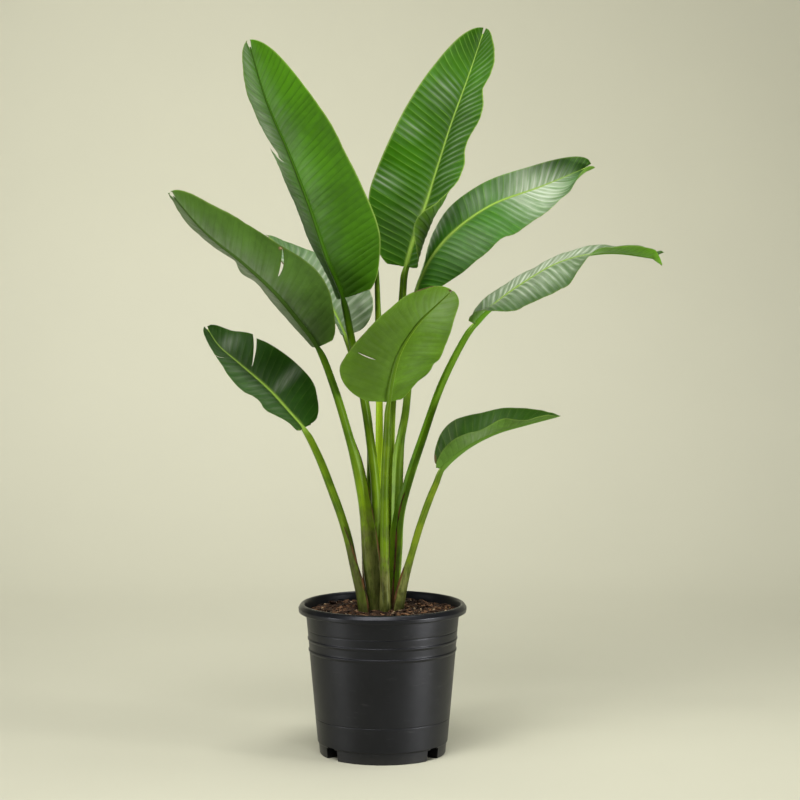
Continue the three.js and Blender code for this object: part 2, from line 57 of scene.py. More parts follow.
# Leaves, in millimetres and degrees. stalk and rib are points on the leaf's centre line from its
# foot in the soil to its tip. channel is where the stalk's open side looks, and faces is where the
# blade's upper side looks, from its base to its tip. left and right are seen from the upper side.
# A wave is (side, place, spread, height, waves along the blade, phase), a swell of the outline is
# (side, place, spread, share), a tear is (side, place, inner end, outer end, gap, flap, lean), and
# prongs is how far the two halves part up and down at the tip. sheath is the height of the top of
# the stalk's winged foot, and stalk_half its half width from foot to blade. widest, tip_power,
# tip_exponent and base_round shape the outline, fold is how far each half bends up from the midrib,
# curl how much further it bends out to its margin, and slit how wide the blade parts at its tip.
LEAVES = {
    "tall_left": {
        "sheath": 450,
        "stalk": [(-17, 9, 184), (-17, 9, 244), (-13, 5, 358), (-12, 0, 435), (-21, -10, 528),
                  (-34, -19, 613), (-51, -26, 696)],
        "rib": [(-65, -28, 763), (-90, -38, 825), (-120, -56, 916), (-150, -78, 997),
                (-184, -104, 1080), (-211, -134, 1175)],
        "channel": (0.5, 1, 0), "stalk_half": (8, 9, 7.5, 6.5, 6),
        "faces": [(0.1, 1, 0.1), (-0.1, 1, 0.2), (0, 1, 0.3)],
        "left": 100, "right": 66, "widest": 0.2, "tip_power": 1.5, "tip_exponent": 0.54, "base_round": 2.5,
        "fold_left": (10, 15, 20), "fold_right": (55, 50, 30),
        "curl_left": (10, 10, 0), "curl_right": (30, 40, 25),
        "waves": [(1, 0.1, 0.12, 6, 2, 0)], "swells": [(1, 0.46, 0.05, 0.2)],
        "tears": [(1, 0.52, 0.3, 1, 11, 0.5, 0)], "slit": 6,
    },
    "tall_middle": {
        "sheath": 450,
        "stalk": [(-1, 19, 183), (-1, 19, 242), (7, 39, 356), (13, 45, 457), (16, 54, 557),
                  (24, 64, 675), (34, 72, 759)],
        "rib": [(39, 76, 813), (54, 84, 865), (80, 98, 940), (114, 118, 1047), (145, 138, 1133),
                (173, 158, 1216)],
        "channel": (0, -1, 0), "stalk_half": (8, 8, 7, 6, 6),
        "faces": [(-0.8, -0.5, 0.2), (-0.3, -0.9, 0.3), (-0.3, -0.9, 0.3)],
        "left": 100, "right": 92, "widest": 0.21, "tip_power": 1.2, "tip_exponent": 0.5, "base_round": 2,
        "fold_left": (30, 20, 20), "fold_right": (-30, -30, 0, 42, 45, 40, 32, 24, 20),
        "curl_left": (10, 5, -15),
        "curl_right": (150, 170, 75, -15, -15, -8, 0, 8, 15),
        "waves": [], "swells": [(1, 0.67, 0.05, -0.16), (1, 0.56, 0.05, 0.1), (1, 0.42, 0.06, -0.14)],
        "tears": [], "slit": 4,
    },
    "upper_right": {
        "sheath": 530,
        "stalk": [(18, 26, 181), (18, 26, 241), (25, 28, 355), (25, 29, 440), (27, 29, 508),
                  (38, 31, 575), (46, 34, 676)],
        "rib": [(53, 38, 765), (76, 46, 822), (113, 54, 867), (181, 70, 915), (267, 90, 947),
                (353, 106, 983)],
        "channel": (-0.4, -1, 0), "stalk_half": (8, 8.5, 7.5, 6, 5.5),
        "faces": [(0.3, -0.9, 0), (-0.2, -0.7, 0.7), (-0.1, -0.8, 0.6)],
        "left": 42, "right": 80, "widest": 0.45, "tip_power": 2, "tip_exponent": 0.37, "base_round": 1.9,
        "fold_left": (60, 20, 35), "fold_right": (10, -5, 25),
        "curl_left": (60, 15, 10),
        "curl_right": (10, 10, 10, 10, 30, 115),
        "waves": [(1, 0.45, 0.2, 4, 5, 0)], "swells": [(-1, 0.2, 0.15, -0.15), (1, 0.93, 0.06, 0.1)],
        "tears": [], "slit": 6,
    },
    "far_right": {
        "sheath": 450,
        "stalk": [(19, 5, 184), (19, 5, 244), (24, 3, 333), (29, 0, 401), (44, -5, 460),
                  (66, -9, 528), (102, -12, 629)],
        "rib": [(152, -15, 721), (182, -18, 752), (228, -26, 787), (293, -38, 824),
                (366, -50, 838), (455, -64, 827)],
        "channel": (-1, -0.3, 0), "stalk_half": (9, 12, 8.5, 6.5, 5.5),
        "faces": [(-0.8, -0.3, 0.6), (-0.4, -0.2, 0.9), (0, -0.2, 1)],
        "left": 59, "right": 84, "widest": 0.25, "tip_power": 1.2, "tip_exponent": 0.6, "base_round": 2,
        "fold_left": (10, 0, 0, 10, 50), "fold_right": (50, 2, -8, 20, 75),
        "curl_left": (-10, -5, -15),
        "curl_right": (-35, -30, -20, 15, 20),
        "waves": [], "swells": [(1, 0.2, 0.1, -0.15), (1, 0.5, 0.1, 0.12), (1, 0.88, 0.1, -0.3)],
        "tears": [], "slit": 8, "prongs": (12, -9),
    },
    "low_right": {
        "sheath": 330,
        "stalk": [(28, -17, 188), (28, -17, 248), (35, -18, 289), (47, -21, 336), (62, -25, 387),
                  (79, -30, 435), (90, -33, 462)],
        "rib": [(97, -37, 484), (115, -40, 503), (145, -44, 525), (186, -50, 545), (235, -57, 559),
                (289, -66, 573)],
        "channel": (-1, 0.3, 0), "stalk_half": (11, 11, 8, 6.5, 5.5),
        "faces": [(-0.9, -0.2, 0.5), (-0.4, -0.2, 0.9), (-0.3, -0.1, 0.9)],
        "left": 61, "right": 55, "widest": 0.23, "tip_power": 1.6, "tip_exponent": 0.65, "base_round": 1.8,
        "fold_left": (30, 20, 20), "fold_right": (40, 30, 25),
        "curl_left": (30, 10, -5), "curl_right": (20, 10, 5),
        "waves": [(1, 0.6, 0.25, 4, 3, 0.4)], "swells": [],
        "tears": [], "slit": 3,
    },
    "front": {
        "sheath": 290,
        "stalk": [(5, -26, 190), (5, -26, 249), (4, -28, 329), (4, -32, 405), (5, -37, 472),
                  (8, -42, 531)],
        "rib": [(11, -48, 595), (16, -56, 632), (29, -68, 679), (58, -84, 725), (90, -97, 757),
                (113, -106, 779)],
        "channel": (0, 1, 0), "stalk_half": (8, 8, 7, 6, 5),
        "faces": [(-0.4, 0.9, 0.2), (-0.3, 0.8, 0.5), (-0.4, 0.8, 0.4)],
        "left": 82, "right": 92, "widest": 0.2, "tip_power": 1.4, "tip_exponent": 0.45, "base_round": 2.2,
        "fold_left": (30, -5, -5), "fold_right": (15, -10, -5),
        "curl_left": (0, 15, -5), "curl_right": (10, -5, -5),
        "waves": [(-1, 0.35, 0.15, 2.5, 4, 0)], "swells": [(-1, 0.84, 0.14, -0.17), (-1, 0.3, 0.1, -0.05)],
        "tears": [(1, 0.285, 0.36, 0.86, 1.9, 0, 0)], "slit": 1,
    },
    "middle_left": {
        "sheath": 530,
        "stalk": [(-14, -10, 187), (-14, -10, 246), (-22, -12, 326), (-29, -14, 403), (-41, -20, 476),
                  (-59, -27, 546), (-80, -34, 617)],
        "rib": [(-106, -42, 684), (-136, -52, 726), (-176, -66, 775), (-224, -84, 821),
                (-286, -108, 874), (-337, -132, 936)],
        "channel": (0.5, 1, 0), "stalk_half": (8, 14, 9, 6.5, 5.5),
        "faces": [(0.3, 0.9, 0.3), (0.1, 0.9, 0.5), (0.1, 0.9, 0.5)],
        "left": 76, "right": 66, "widest": 0.23, "tip_power": 1.2, "tip_exponent": 0.55, "base_round": 2.2,
        "fold_left": (0, 45, 40), "fold_right": (40, 45, 35),
        "curl_left": (5, 25, 20), "curl_right": (20, 20, 50),
        "waves": [(1, 0.5, 0.08, 9, 4, 0)], "swells": [],
        "tears": [(-1, 0.35, 0.3, 0.99, 6, 0, 0)], "slit": 7,
    },
    "low_left": {
        "sheath": 395,
        "stalk": [(-33, -12, 188), (-33, -12, 247), (-48, -11, 321), (-66, -7, 390), (-87, -1, 448),
                  (-108, 6, 501)],
        "rib": [(-132, 16, 546), (-156, 19, 574), (-190, 24, 611), (-240, 32, 654),
                (-274, 39, 683), (-295, 46, 714)],
        "channel": (1, 0.3, 0), "stalk_half": (11, 10.5, 7.5, 6.5, 5.5),
        "faces": [(0.4, -0.8, 0.4), (0.3, -0.8, 0.5), (0.5, -0.7, 0.5)],
        "left": 61, "right": 64, "widest": 0.21, "tip_power": 1.7, "tip_exponent": 0.49, "base_round": 2.2,
        "fold_left": (35, 25, 25), "fold_right": (30, 25, 10),
        "curl_left": (25, 10, 25), "curl_right": (15, 10, 0),
        "waves": [(-1, 0.3, 0.15, 6, 3, 0.1)], "swells": [],
        "tears": [(1, 0.62, 0.12, 1, 9, 0, 0.07), (-1, 0.72, 0.2, 1, 2.5, 0, 0)], "slit": 5,
    },
    "back_left": {
        "sheath": 420,
        "stalk": [(-26, 31, 180), (-26, 31, 240), (-29, 38, 354), (-22, 44, 455), (-23, 48, 540),
                  (-35, 54, 611), (-51, 60, 661)],
        "rib": [(-64, 66, 698), (-83, 72, 739), (-107, 80, 776), (-134, 90, 809), (-164, 102, 838),
                (-197, 116, 865)],
        "channel": (0.6, -0.8, 0), "stalk_half": (8, 8, 6.5, 5.5, 5),
        "faces": [(0.5, -0.8, 0.3), (0.4, -0.7, 0.5), (0.4, -0.5, 0.8)],
        "left": 70, "right": 75, "widest": 0.24, "tip_power": 1.4, "tip_exponent": 0.8, "base_round": 2.5,
        "fold_left": (45, 25, 5), "fold_right": (25, 0, -5),
        "curl_left": (15, 10, 0), "curl_right": (10, 0, -20),
        "waves": [], "swells": [],
        "tears": [], "slit": 3,
    },
}

# How each leaf is coloured. upper, under and glow are its two sides and the light through it, and
# lines, striping, edge and pleat are how strong its veins, the stripes in its painted sheen, its pale
# margin and its pleats are. The veins are painted lighter on the upper side and darker on the under
# side, partly as painted highlight on their ridges and painted shade in their furrows, and the pale
# margin is partly a painted highlight along the lit rim. keel is how light the underside of the
# midrib is, painted darker than the under side as painted shade, and lit_flank the side of it that
# is painted light as a painted highlight. stalk is the stalk's colour, young how yellow it is from
# foot to blade, and foot the height where its husky foot begins and how light that is, lower on the
# stalks in the middle and back of the clump as painted shade. A patch is (kind, across, along, half
# width, half length, strength): the sheen kind is a painted sheen, the light that the blade reflects,
# deep a darker green, dry a brown spot.
TONES = {
    "tall_left": {
        "lines": 0.8, "striping": 0.3, "pleat": 1.6, "edge": 0.5, "keel": 0.5,
        "upper": (0.05, 0.16, 0.012), "under": (0.053, 0.165, 0.004), "glow": (0.17, 0.5, 0.004),
        "stalk": (0.028, 0.08, 0.002), "foot": (460, 0.3), "young": (0.1, 0.2, 0.25, 0.1, 0),
        "patches": [("painted_sheen", 0.65, 0.55, 0.5, 0.6, 0.6), ("painted_sheen", -0.12, 0.55, 0.25, 0.5, 0.12),
                    ("deep", 0, 0.02, 0.9, 0.16, 0.8), ("deep", -0.5, 0.25, 0.6, 0.25, 0.3),
                    ("dry", 0.05, 1, 0.2, 0.012, 0.7)]},
    "tall_middle": {
        "lines": 1.0, "striping": 0.8, "pleat": 1.5, "edge": 0.55, "keel": 0.6,
        "upper": (0.034, 0.135, 0.002), "under": (0.10, 0.22, 0.02), "glow": (0.2, 0.48, 0.006),
        "stalk": (0.035, 0.09, 0.004), "foot": (440, 0.3), "young": (0.1, 0.4, 0.3, 0.1, 0.1),
        "patches": [("painted_sheen", -0.8, 0.3, 0.3, 0.04, 0.6), ("painted_sheen", -0.75, 0.52, 0.28, 0.04, 0.4),
                    ("painted_sheen", -0.45, 0.7, 0.4, 0.06, 0.4), ("painted_sheen", 0.5, 0.5, 0.5, 0.5, 0.4),
                    ("deep", -0.3, 0.92, 0.8, 0.08, 0.5), ("deep", -0.4, 0.12, 0.7, 0.14, 0.5),
                    ("deep", 0.1, 0.4, 0.25, 0.5, 0.3), ("dry", 0, 1, 0.2, 0.01, 0.6)]},
    "upper_right": {
        "lines": 0.9, "striping": 0.42, "pleat": 1.2, "edge": 0.2, "keel": 0.7,
        "upper": (0.027, 0.13, 0.003), "under": (0.16, 0.36, 0.02), "glow": (0.22, 0.5, 0.015),
        "stalk": (0.055, 0.13, 0.014), "foot": (440, 0.6), "young": (0.1, 0.1, 0.1, 0.1, 0.1),
        "patches": [("painted_sheen", 0, 0.74, 1.2, 0.14, 1.45), ("painted_sheen", 0.6, 0.36, 0.5, 0.2, 0.25),
                    ("painted_sheen", -0.95, 0.22, 0.4, 0.14, 1.3), ("painted_sheen", -0.5, 0.5, 0.5, 0.2, 0.3),
                    ("deep", -0.2, 0.96, 1.2, 0.05, 0.9), ("deep", -1, 0.88, 0.6, 0.12, 0.7),
                    ("deep", 0.95, 0.85, 0.25, 0.12, 0.35),
                    ("dry", 0, 1, 0.2, 0.012, 0.6)]},
    "far_right": {
        "lines": 0.6, "striping": 0.48, "pleat": 1.3, "edge": 0.2, "keel": 0.8,
        "upper": (0.03, 0.085, 0.012), "under": (0.11, 0.27, 0.015), "glow": (0.22, 0.48, 0.02),
        "stalk": (0.036, 0.11, 0.005), "foot": (400, 0.8), "young": (0.2, 0.2, 0.1, 0.1, 0.1),
        "patches": [("painted_sheen", -0.5, 0.4, 0.9, 0.4, 1.2), ("painted_sheen", 0.4, 0.42, 0.5, 0.3, 0.8),
                    ("deep", -0.5, 0.03, 0.6, 0.07, 0.7), ("deep", 0.8, 0.02, 0.6, 0.08, 0.9),
                    ("dry", 0, 1, 0.3, 0.015, 0.8)]},
    "low_right": {
        "lines": 0.5, "striping": 0.5, "pleat": 0.6, "edge": 0.2, "keel": 0.9,
        "upper": (0.025, 0.078, 0.005), "under": (0.1, 0.208, 0.028), "glow": (0.1, 0.26, 0.01),
        "stalk": (0.062, 0.11, 0.01), "foot": (400, 1.0), "young": (0.2, 0.15, 0.1, 0.1, 0.1),
        "patches": [("painted_sheen", 0.5, 0.38, 0.6, 0.1, 0.3), ("painted_sheen", -0.5, 0.5, 0.5, 0.15, 0.12),
                    ("deep", 0.4, 0.1, 0.6, 0.1, 0.3),
                    ("deep", -0.5, 0.2, 0.5, 0.1, 0.5), ("deep", -0.6, 0.1, 0.6, 0.12, 0.5),
                    ("dry", 0, 1, 0.2, 0.015, 0.5), ("dry", -0.9, 0.02, 0.2, 0.03, 0.7)]},
    "front": {
        "lines": 0.3, "striping": 0.0, "pleat": 0.6, "edge": 0.3, "keel": 0.55,
        "upper": (0.05, 0.16, 0.012), "under": (0.14, 0.285, 0.018), "glow": (0.27, 0.56, 0.02),
        "stalk": (0.042, 0.095, 0.004), "foot": (430, 0.9), "young": (0.5, 0.25, 0.1, 0.1, 0.1),
        "lit_flank": -1,
        "patches": [("painted_sheen", -0.2, 0.85, 0.8, 0.2, 0.25), ("painted_sheen", -0.5, 0.4, 0.3, 0.3, 0.08),
                    ("painted_sheen", 0.6, 0.4, 0.6, 0.5, 0.08), ("deep", 0.6, 0.35, 0.6, 0.5, 0.68),
                    ("deep", 0, 0.02, 0.6, 0.12, 0.5),
                    ("dry", 1, 0.4, 0.03, 0.5, 0.45), ("dry", 1, 0.9, 0.06, 0.1, 0.7),
                    ("dry", 0.2, 0.99, 0.5, 0.02, 0.6)]},
    "middle_left": {
        "lines": 0.3, "striping": 0.1, "pleat": 0.55, "edge": 0.3, "keel": 0.5,
        "upper": (0.045, 0.14, 0.012), "under": (0.055, 0.12, 0.015), "glow": (0.11, 0.28, 0.008),
        "stalk": (0.028, 0.078, 0.004), "foot": (480, 0.6), "young": (0.1, 0.3, 0.35, 0.1, 0),
        "patches": [("painted_sheen", 0.5, 0.5, 0.6, 0.6, 0.5), ("deep", 0, 0.02, 0.9, 0.15, 0.6),
                    ("deep", -0.1, 0.4, 0.25, 0.5, 0.3), ("dry", 0, 1, 0.3, 0.02, 0.6),
                    ("dry", -0.93, 0.425, 0.06, 0.011, 1.0)]},
    "low_left": {
        "lines": 0.35, "striping": 0.3, "pleat": 0.8, "edge": 0.1, "keel": 0.8,
        "upper": (0.016, 0.066, 0.003), "under": (0.10, 0.20, 0.02), "glow": (0.08, 0.22, 0.008),
        "stalk": (0.045, 0.1, 0.006), "foot": (440, 0.5), "young": (0.1, 0.1, 0.1, 0.1, 0.2),
        "patches": [("painted_sheen", 0.5, 0.33, 0.5, 0.035, 0.4), ("painted_sheen", -0.5, 0.5, 0.6, 0.5, 0.16),
                    ("painted_sheen", 0.4, 0.8, 0.4, 0.06, 0.4), ("dry", 0, 1, 0.25, 0.015, 0.6)]},
    "back_left": {
        "lines": 0.7, "striping": 0.55, "pleat": 1.0, "edge": 0.2, "keel": 0.8,
        "upper": (0.06, 0.16, 0.04), "under": (0.12, 0.25, 0.04), "glow": (0.42, 0.65, 0.22),
        "stalk": (0.04, 0.09, 0.006), "foot": (440, 0.3), "young": (0.1, 0.1, 0.1, 0.1, 0.1),
        "patches": [("painted_sheen", -0.6, 0.3, 0.8, 0.8, 1.3), ("painted_sheen", 0.6, 0.2, 0.6, 0.5, 1.4),
                    ("dry", -1, 0.6, 0.06, 0.25, 0.8),
                    ("dry", 0, 1, 0.3, 0.04, 0.9)]},
}

# Blade: how strongly its rows and columns crowd together at their ends, from 0 to 1, and the least
# curl in radians, because a flat blade has no radius
ROW_CROWDING = 0.5
COLUMN_CROWDING = 0.35
FLATTEST_CURL = 0.0087

# The blade's first and last place on the midrib, how far its margins sweep towards the tip and
# with what power that grows outwards, how far its base lobes drop and how far up they reach, and
# where the slit at its tip starts. All but the power are shares of its length.
BLADE_ENDS = (0.004, 0.9993)
SWEEP = 0.08
SWEEP_POWER = 1.6
LOBE_DROP = 0.02
LOBE_SPAN = 0.05
SLIT_START = 0.945

# Side veins: the angle between midrib and vein in degrees, from the blade's base to its tip, how far
# a vein runs along the midrib and within what distance it leaves it, and how far it wanders and in
# what length, in millimetres
VEIN_LEAN = (80, 76, 70, 40)
VEIN_START = (5, 9)
VEIN_WANDER = (3.5, 23)

# Pleats: how sharp their ridges are and how much of their height lies below the plain blade. Then
# the blade's slow and its small waves as (height, length), in millimetres
PLEAT_POWER = 2.6
PLEAT_SINK = 0.35
SLOW_WAVES = (3.4, 48)
SMALL_WAVES = (1.1, 17)

# A tear: how much of its gap opens towards tip and base, the length along the blade that leans and
# the length that folds back with it, and the width of its dry lips in millimetres
TEAR_OPENING = (0.3, -0.7)
LEAN_SPAN = 0.15
FLAP_SPAN = 0.07
DRY_LIP = 1.5

# Stalk: its depth and its channel's depth as shares of its half width, from foot to blade, and how
# strongly its corners crowd towards the channel's two edges. Then in millimetres its thin lip, the
# wing of its sheath, where along it the stalk becomes the midrib and the height of its foot's fade.
STALK_DEPTH = (1.5, 1.4, 1.5, 1.7, 1.7)
CHANNEL_DEPTH = (0.9, 0.9, 0.6, 0.35, 0.3)
EDGE_CROWDING = 0.36
STALK_LIP = 1.2
WING = 2.6
RIB_BLEND = (-22, 14)
FOOT_FADE = 190

# The youngest leaf, still rolled up: its path and radius in millimetres, where its front looks, how
# far round the roll its free edge starts and turns towards the tip in radians, the least size of
# the roll and its swell towards that edge, and the heights where its yellow and its foot fade
SPEAR_PATH = [(-8, 38, 182), (-8, 38, 242), (-10, 39, 330), (-7, 36, 400), (-5, 28, 560), (-6, 22, 700),
              (-8, 20, 770), (-10, 18, 830), (-13, 17, 852)]
SPEAR_RADIUS = (8, 8, 7.8, 7.2, 6.2, 5.8, 6.2, 4.6, 1.1)
SPEAR_FACING = (0.3, -1, 0)
SPEAR_START = 1.2
SPEAR_TWIST = 0.9
SPEAR_ROLL = (0.9, 0.2)
SPEAR_YELLOW = (740, 640)
SPEAR_FOOT = (330, 240)

# Profiles in millimetres as (radius, height). The pot's runs up its outside and down its inside.
POT_PROFILE = [
    (0, 4), (84, 4), (88, 0), (97, 0), (101.8, 1.6), (104.8, 6), (106.6, 23.8), (108.4, 25.4),
    (112.1, 65.4), (111.4, 66.2), (112.2, 67),
    (121.8, 176), (123.2, 178.2), (123.5, 180.6), (121.9, 181.8), (122.4, 186),
    (123.3, 195), (124.6, 197.2), (124.9, 199.4), (123.7, 200.4),
    (124.9, 213), (124.3, 214), (125.1, 215.2),
    (127.6, 240.6), (136.4, 241.6), (138.8, 242.2), (139.6, 243.4), (140, 249.2), (139.1, 250.6),
    (136.6, 254.6), (134.2, 256.2), (131.8, 256.2), (129.8, 254.4), (128.8, 251.6),
    (125.6, 240), (118.3, 160), (105.2, 28), (104, 27), (0, 27)]
SOIL_PROFILE = [(0, 27.4), (103.4, 27.4), (104.6, 28.4), (117.9, 160), (124.9, 241)]

# The soil's top: how high it is mounded, its lumps as (width, height, layer of the noise), the rings
# of faces on it and the distance between two of them, in millimetres, and the faces in a ring
SOIL_MOUND = 5
SOIL_LUMPS = ((26, 3.4, 1.5), (9, 1.7, 4.5), (3.1, 1.0, 7.5))
SOIL_RINGS = 51
RING_STEP = 2.4
SOIL_SIDES = 120

# How far inside the soil's edge and how far from a stalk's middle the chips lie, in millimetres,
# and the share of the crumbs that are pale
CHIPS_INSIDE = 4
STALK_CLEARANCE = 11
PALE_SHARE = 0.12

# How near its ends a long stretch of a profile is held flat, and the radius of the pot's rounded
# corners, in millimetres. Then the bend in radians above which a corner of a profile is rounded, and
# the angle in degrees above which an edge of the finished pot looks sharp
HOLD = 1.4
POT_ROUNDING = 0.5
SHARP_CORNER = 0.05
SHARP_EDGE = 38

# Where the drain notches stand round the pot in degrees, how far from its axis the cut starts and
# how deep it goes in metres, and the top and half width of the step in its roof as shares of its
# height and width
DRAIN_ANGLES = (52, 128, 232, 308)
NOTCH_FRONT = 0.13
NOTCH_DEPTH = 0.05
NOTCH_STEP = (1.12, 0.3)

# Floor, bend and wall of the backdrop as (y, z), and half its width, in metres
BACKDROP = [(-7.0, 0.0), (1.2, 0.0), (1.6, 0.03), (2.0, 0.14), (2.35, 0.36), (2.6, 0.7), (2.7, 1.1),
            (2.7, 5.0)]
BACKDROP_HALF = 7

# The camera's place in metres and how far it looks down, in radians
CAMERA_PLACE = (0.029, -4.0, 0.903)
CAMERA_DIP = 0.077

# Soft lights: name, place, where it points, width, height, power and spread in degrees
LIGHTS = [
    ("side_left", (-2.7, -1.15, 0.24), (0, 0, 0.3), 0.4, 0.44, 16, 120),
    ("side_right", (2.7, -1.3, 0.24), (0, 0, 0.3), 0.4, 0.44, 38, 120),
    ("front_panel", (-1.3, -2.0, 2.5), (0, 0, 0.8), 1.2, 0.8, 27, 180),
    ("overhead", (0.8, -0.1, 2.6), (0, 0, 0.5), 1.5, 1.3, 34, 180),
    ("backdrop_wash", (-1.6, 0.2, 2.6), (-0.2, 2.7, 0.55), 1.6, 0.6, 9.0, 80),
    ("floor_wash", (-0.3, -1.2, 2.4), (-0.3, 0.4, 0), 1.4, 0.8, 9.6, 90),
]


class LeafSettings(PropertyGroup):
    row_step: FloatProperty(name="Row step", description="Length of a row of faces along a blade",
                            default=0.0014, unit="LENGTH")
    columns: IntProperty(name="Columns", description="Columns of faces across half a blade",
                         default=20, min=4)
    thickness: FloatProperty(name="Blade thickness", description="Thickness of a blade",
                             default=0.0007, unit="LENGTH")
    pleat_spacing: FloatProperty(name="Pleat spacing", description="Distance between the main side veins",
                                 default=0.011, unit="LENGTH")
    pleat_height: FloatProperty(name="Pleat height", description="How deep the blade sags between two veins",
                                default=0.0011, unit="LENGTH")
    stalk_sides: IntProperty(name="Stalk sides", description="Faces round a stalk", default=36, min=8)
    stalk_step: FloatProperty(name="Stalk step", description="Length of a ring of faces along a stalk",
                              default=0.006, unit="LENGTH")


class PotSettings(PropertyGroup):
    sides: IntProperty(name="Sides", description="Faces round the pot", default=144, min=24)
    notch_width: FloatProperty(name="Notch width", description="Width of a drain notch",
                               default=0.028, unit="LENGTH")
    notch_height: FloatProperty(name="Notch height", description="Height of a drain notch",
                                default=0.023, unit="LENGTH")


class SoilSettings(PropertyGroup):
    chips: IntProperty(name="Bark chips", description="Number of bark chips on the soil", default=620, min=0)
    crumbs: IntProperty(name="Crumbs", description="Number of small crumbs and grains", default=1500, min=0)
    seed: IntProperty(name="Seed", description="Random seed of the chips", default=4)


class StageSettings(PropertyGroup):
    backdrop: FloatVectorProperty(name="Backdrop", description="Colour of floor and backdrop",
                                  subtype="COLOR", default=(0.585, 0.578, 0.462))
    fill: FloatProperty(name="Fill", description="Strength of the even light from all round", default=0.2)
    lens: FloatProperty(name="Lens", description="Focal length of the camera in millimetres",
                        default=109.2)


class PlantSettings(PropertyGroup):
    leaf: PointerProperty(type=LeafSettings)
    pot: PointerProperty(type=PotSettings)
    soil: PointerProperty(type=SoilSettings)
    stage: PointerProperty(type=StageSettings)


# A corner of a blade: its place along and across, how far it is from the midrib and from the margin,
# its side vein and half the midrib's width there, in millimetres but for the first two
Spot = namedtuple("Spot", "q v lateral margin vein rib_half")


# Curves and surfaces


def smooth(low, high, x):
    """Smooth step from 0 at low to 1 at high."""
    t = min(max((x - low) / (high - low), 0.0), 1.0)
    return t * t * (3 - 2 * t)


def spread(values, t):
    """Values spread evenly along 0 to 1, joined by smooth steps."""
    x = min(max(t, 0.0), 1.0) * (len(values) - 1)
    i = min(int(x), len(values) - 2)
    share = smooth(0, 1, x - i)
    return values[i] * (1 - share) + values[i + 1] * share


def crowded(t, amount):
    """Places along 0 to 1 that lie closer together at both ends."""
    return t * (1 - amount) + (1 - math.cos(math.pi * t)) / 2 * amount


def catmull_rom(points, steps):
    """Points on a centripetal Catmull-Rom curve, steps for each span."""
    padded = [points[0] * 2 - points[1], *points, points[-1] * 2 - points[-2]]
    knots = [0.0]
    for a, b in zip(padded, padded[1:]):
        knots.append(knots[-1] + math.sqrt((b - a).length))
    samples = []
    for i in range(1, len(padded) - 2):
        t0, t1, t2, t3 = knots[i - 1:i + 3]
        p0, p1, p2, p3 = padded[i - 1:i + 3]
        for k in range(steps):
            t = t1 + (t2 - t1) * k / steps
            a1 = p0.lerp(p1, (t - t0) / (t1 - t0))
            a2 = p1.lerp(p2, (t - t1) / (t2 - t1))
            a3 = p2.lerp(p3, (t - t2) / (t3 - t2))
            b1 = a1.lerp(a2, (t - t0) / (t2 - t0))
            b2 = a2.lerp(a3, (t - t1) / (t3 - t1))
            samples.append(b1.lerp(b2, (t - t1) / (t2 - t1)))
    samples.append(points[-1].copy())
    return samples


class Line:
    """A curve through points with its frames, in millimetres. facing says where its face looks."""

    STEP = 2.0
    SPAN = 40

    def __init__(self, points, marked, facing):
        samples = catmull_rom([Vector(p) for p in points], self.SPAN)
        lengths = [0.0]
        for a, b in zip(samples, samples[1:]):
            lengths.append(lengths[-1] + (b - a).length)
        self.before = lengths[marked * self.SPAN]
        self.after = lengths[-1] - self.before
        count = math.ceil(lengths[-1] / self.STEP) + 1
        self.places = []
        k = 0
        for i in range(count):
            s = min(i * self.STEP, lengths[-1])
            while k + 2 < len(lengths) and lengths[k + 1] < s:
                k += 1
            share = (s - lengths[k]) / (lengths[k + 1] - lengths[k])
            self.places.append(samples[k].lerp(samples[k + 1], share))
        self.frames = []
        for i in range(count):
            tangent = (self.places[min(i + 2, count - 1)] - self.places[max(i - 2, 0)]).normalized()
            toward = facing(i * self.STEP - self.before, self)
            normal = (toward - tangent * toward.dot(tangent)).normalized()
            self.frames.append((normal, tangent.cross(normal), tangent))

    def at(self, s):
        """Place, normal, side and tangent at s millimetres past the marked point."""
        x = min(max((s + self.before) / self.STEP, 0.0), len(self.places) - 1.001)
        i = int(x)
        share = x - i
        place = self.places[i].lerp(self.places[i + 1], share)
        axes = [a.lerp(b, share) for a, b in zip(self.frames[i], self.frames[i + 1])]
        return place, *axes


def leaf_line(leaf):
    """A leaf's centre line, marked where its blade begins."""
    channel = Vector(leaf["channel"]).normalized()
    faces = [Vector(f) for f in leaf["faces"]]

    def facing(s, line):
        if s < 0:
            return channel.lerp(faces[0].normalized(), smooth(0.1, 0.95, 1 + s / line.before))
        return spread(faces, s / line.after)

    return Line(leaf["stalk"] + leaf["rib"], len(leaf["stalk"]), facing)


def outline(leaf, r, side):
    """Half width of the blade as a share of its widest."""
    if r < leaf["widest"]:
        share = (1 - (1 - r / leaf["widest"]) ** leaf["base_round"]) ** (1 / leaf["base_round"])
    else:
        q = (r - leaf["widest"]) / (1 - leaf["widest"])
        share = max(0.0, 1 - q ** leaf["tip_power"]) ** leaf["tip_exponent"]
    for swell_side, place, width, amount in leaf["swells"]:
        if swell_side == side:
            share *= 1 + amount * math.exp(-(((r - place) / width) ** 2))
    return share


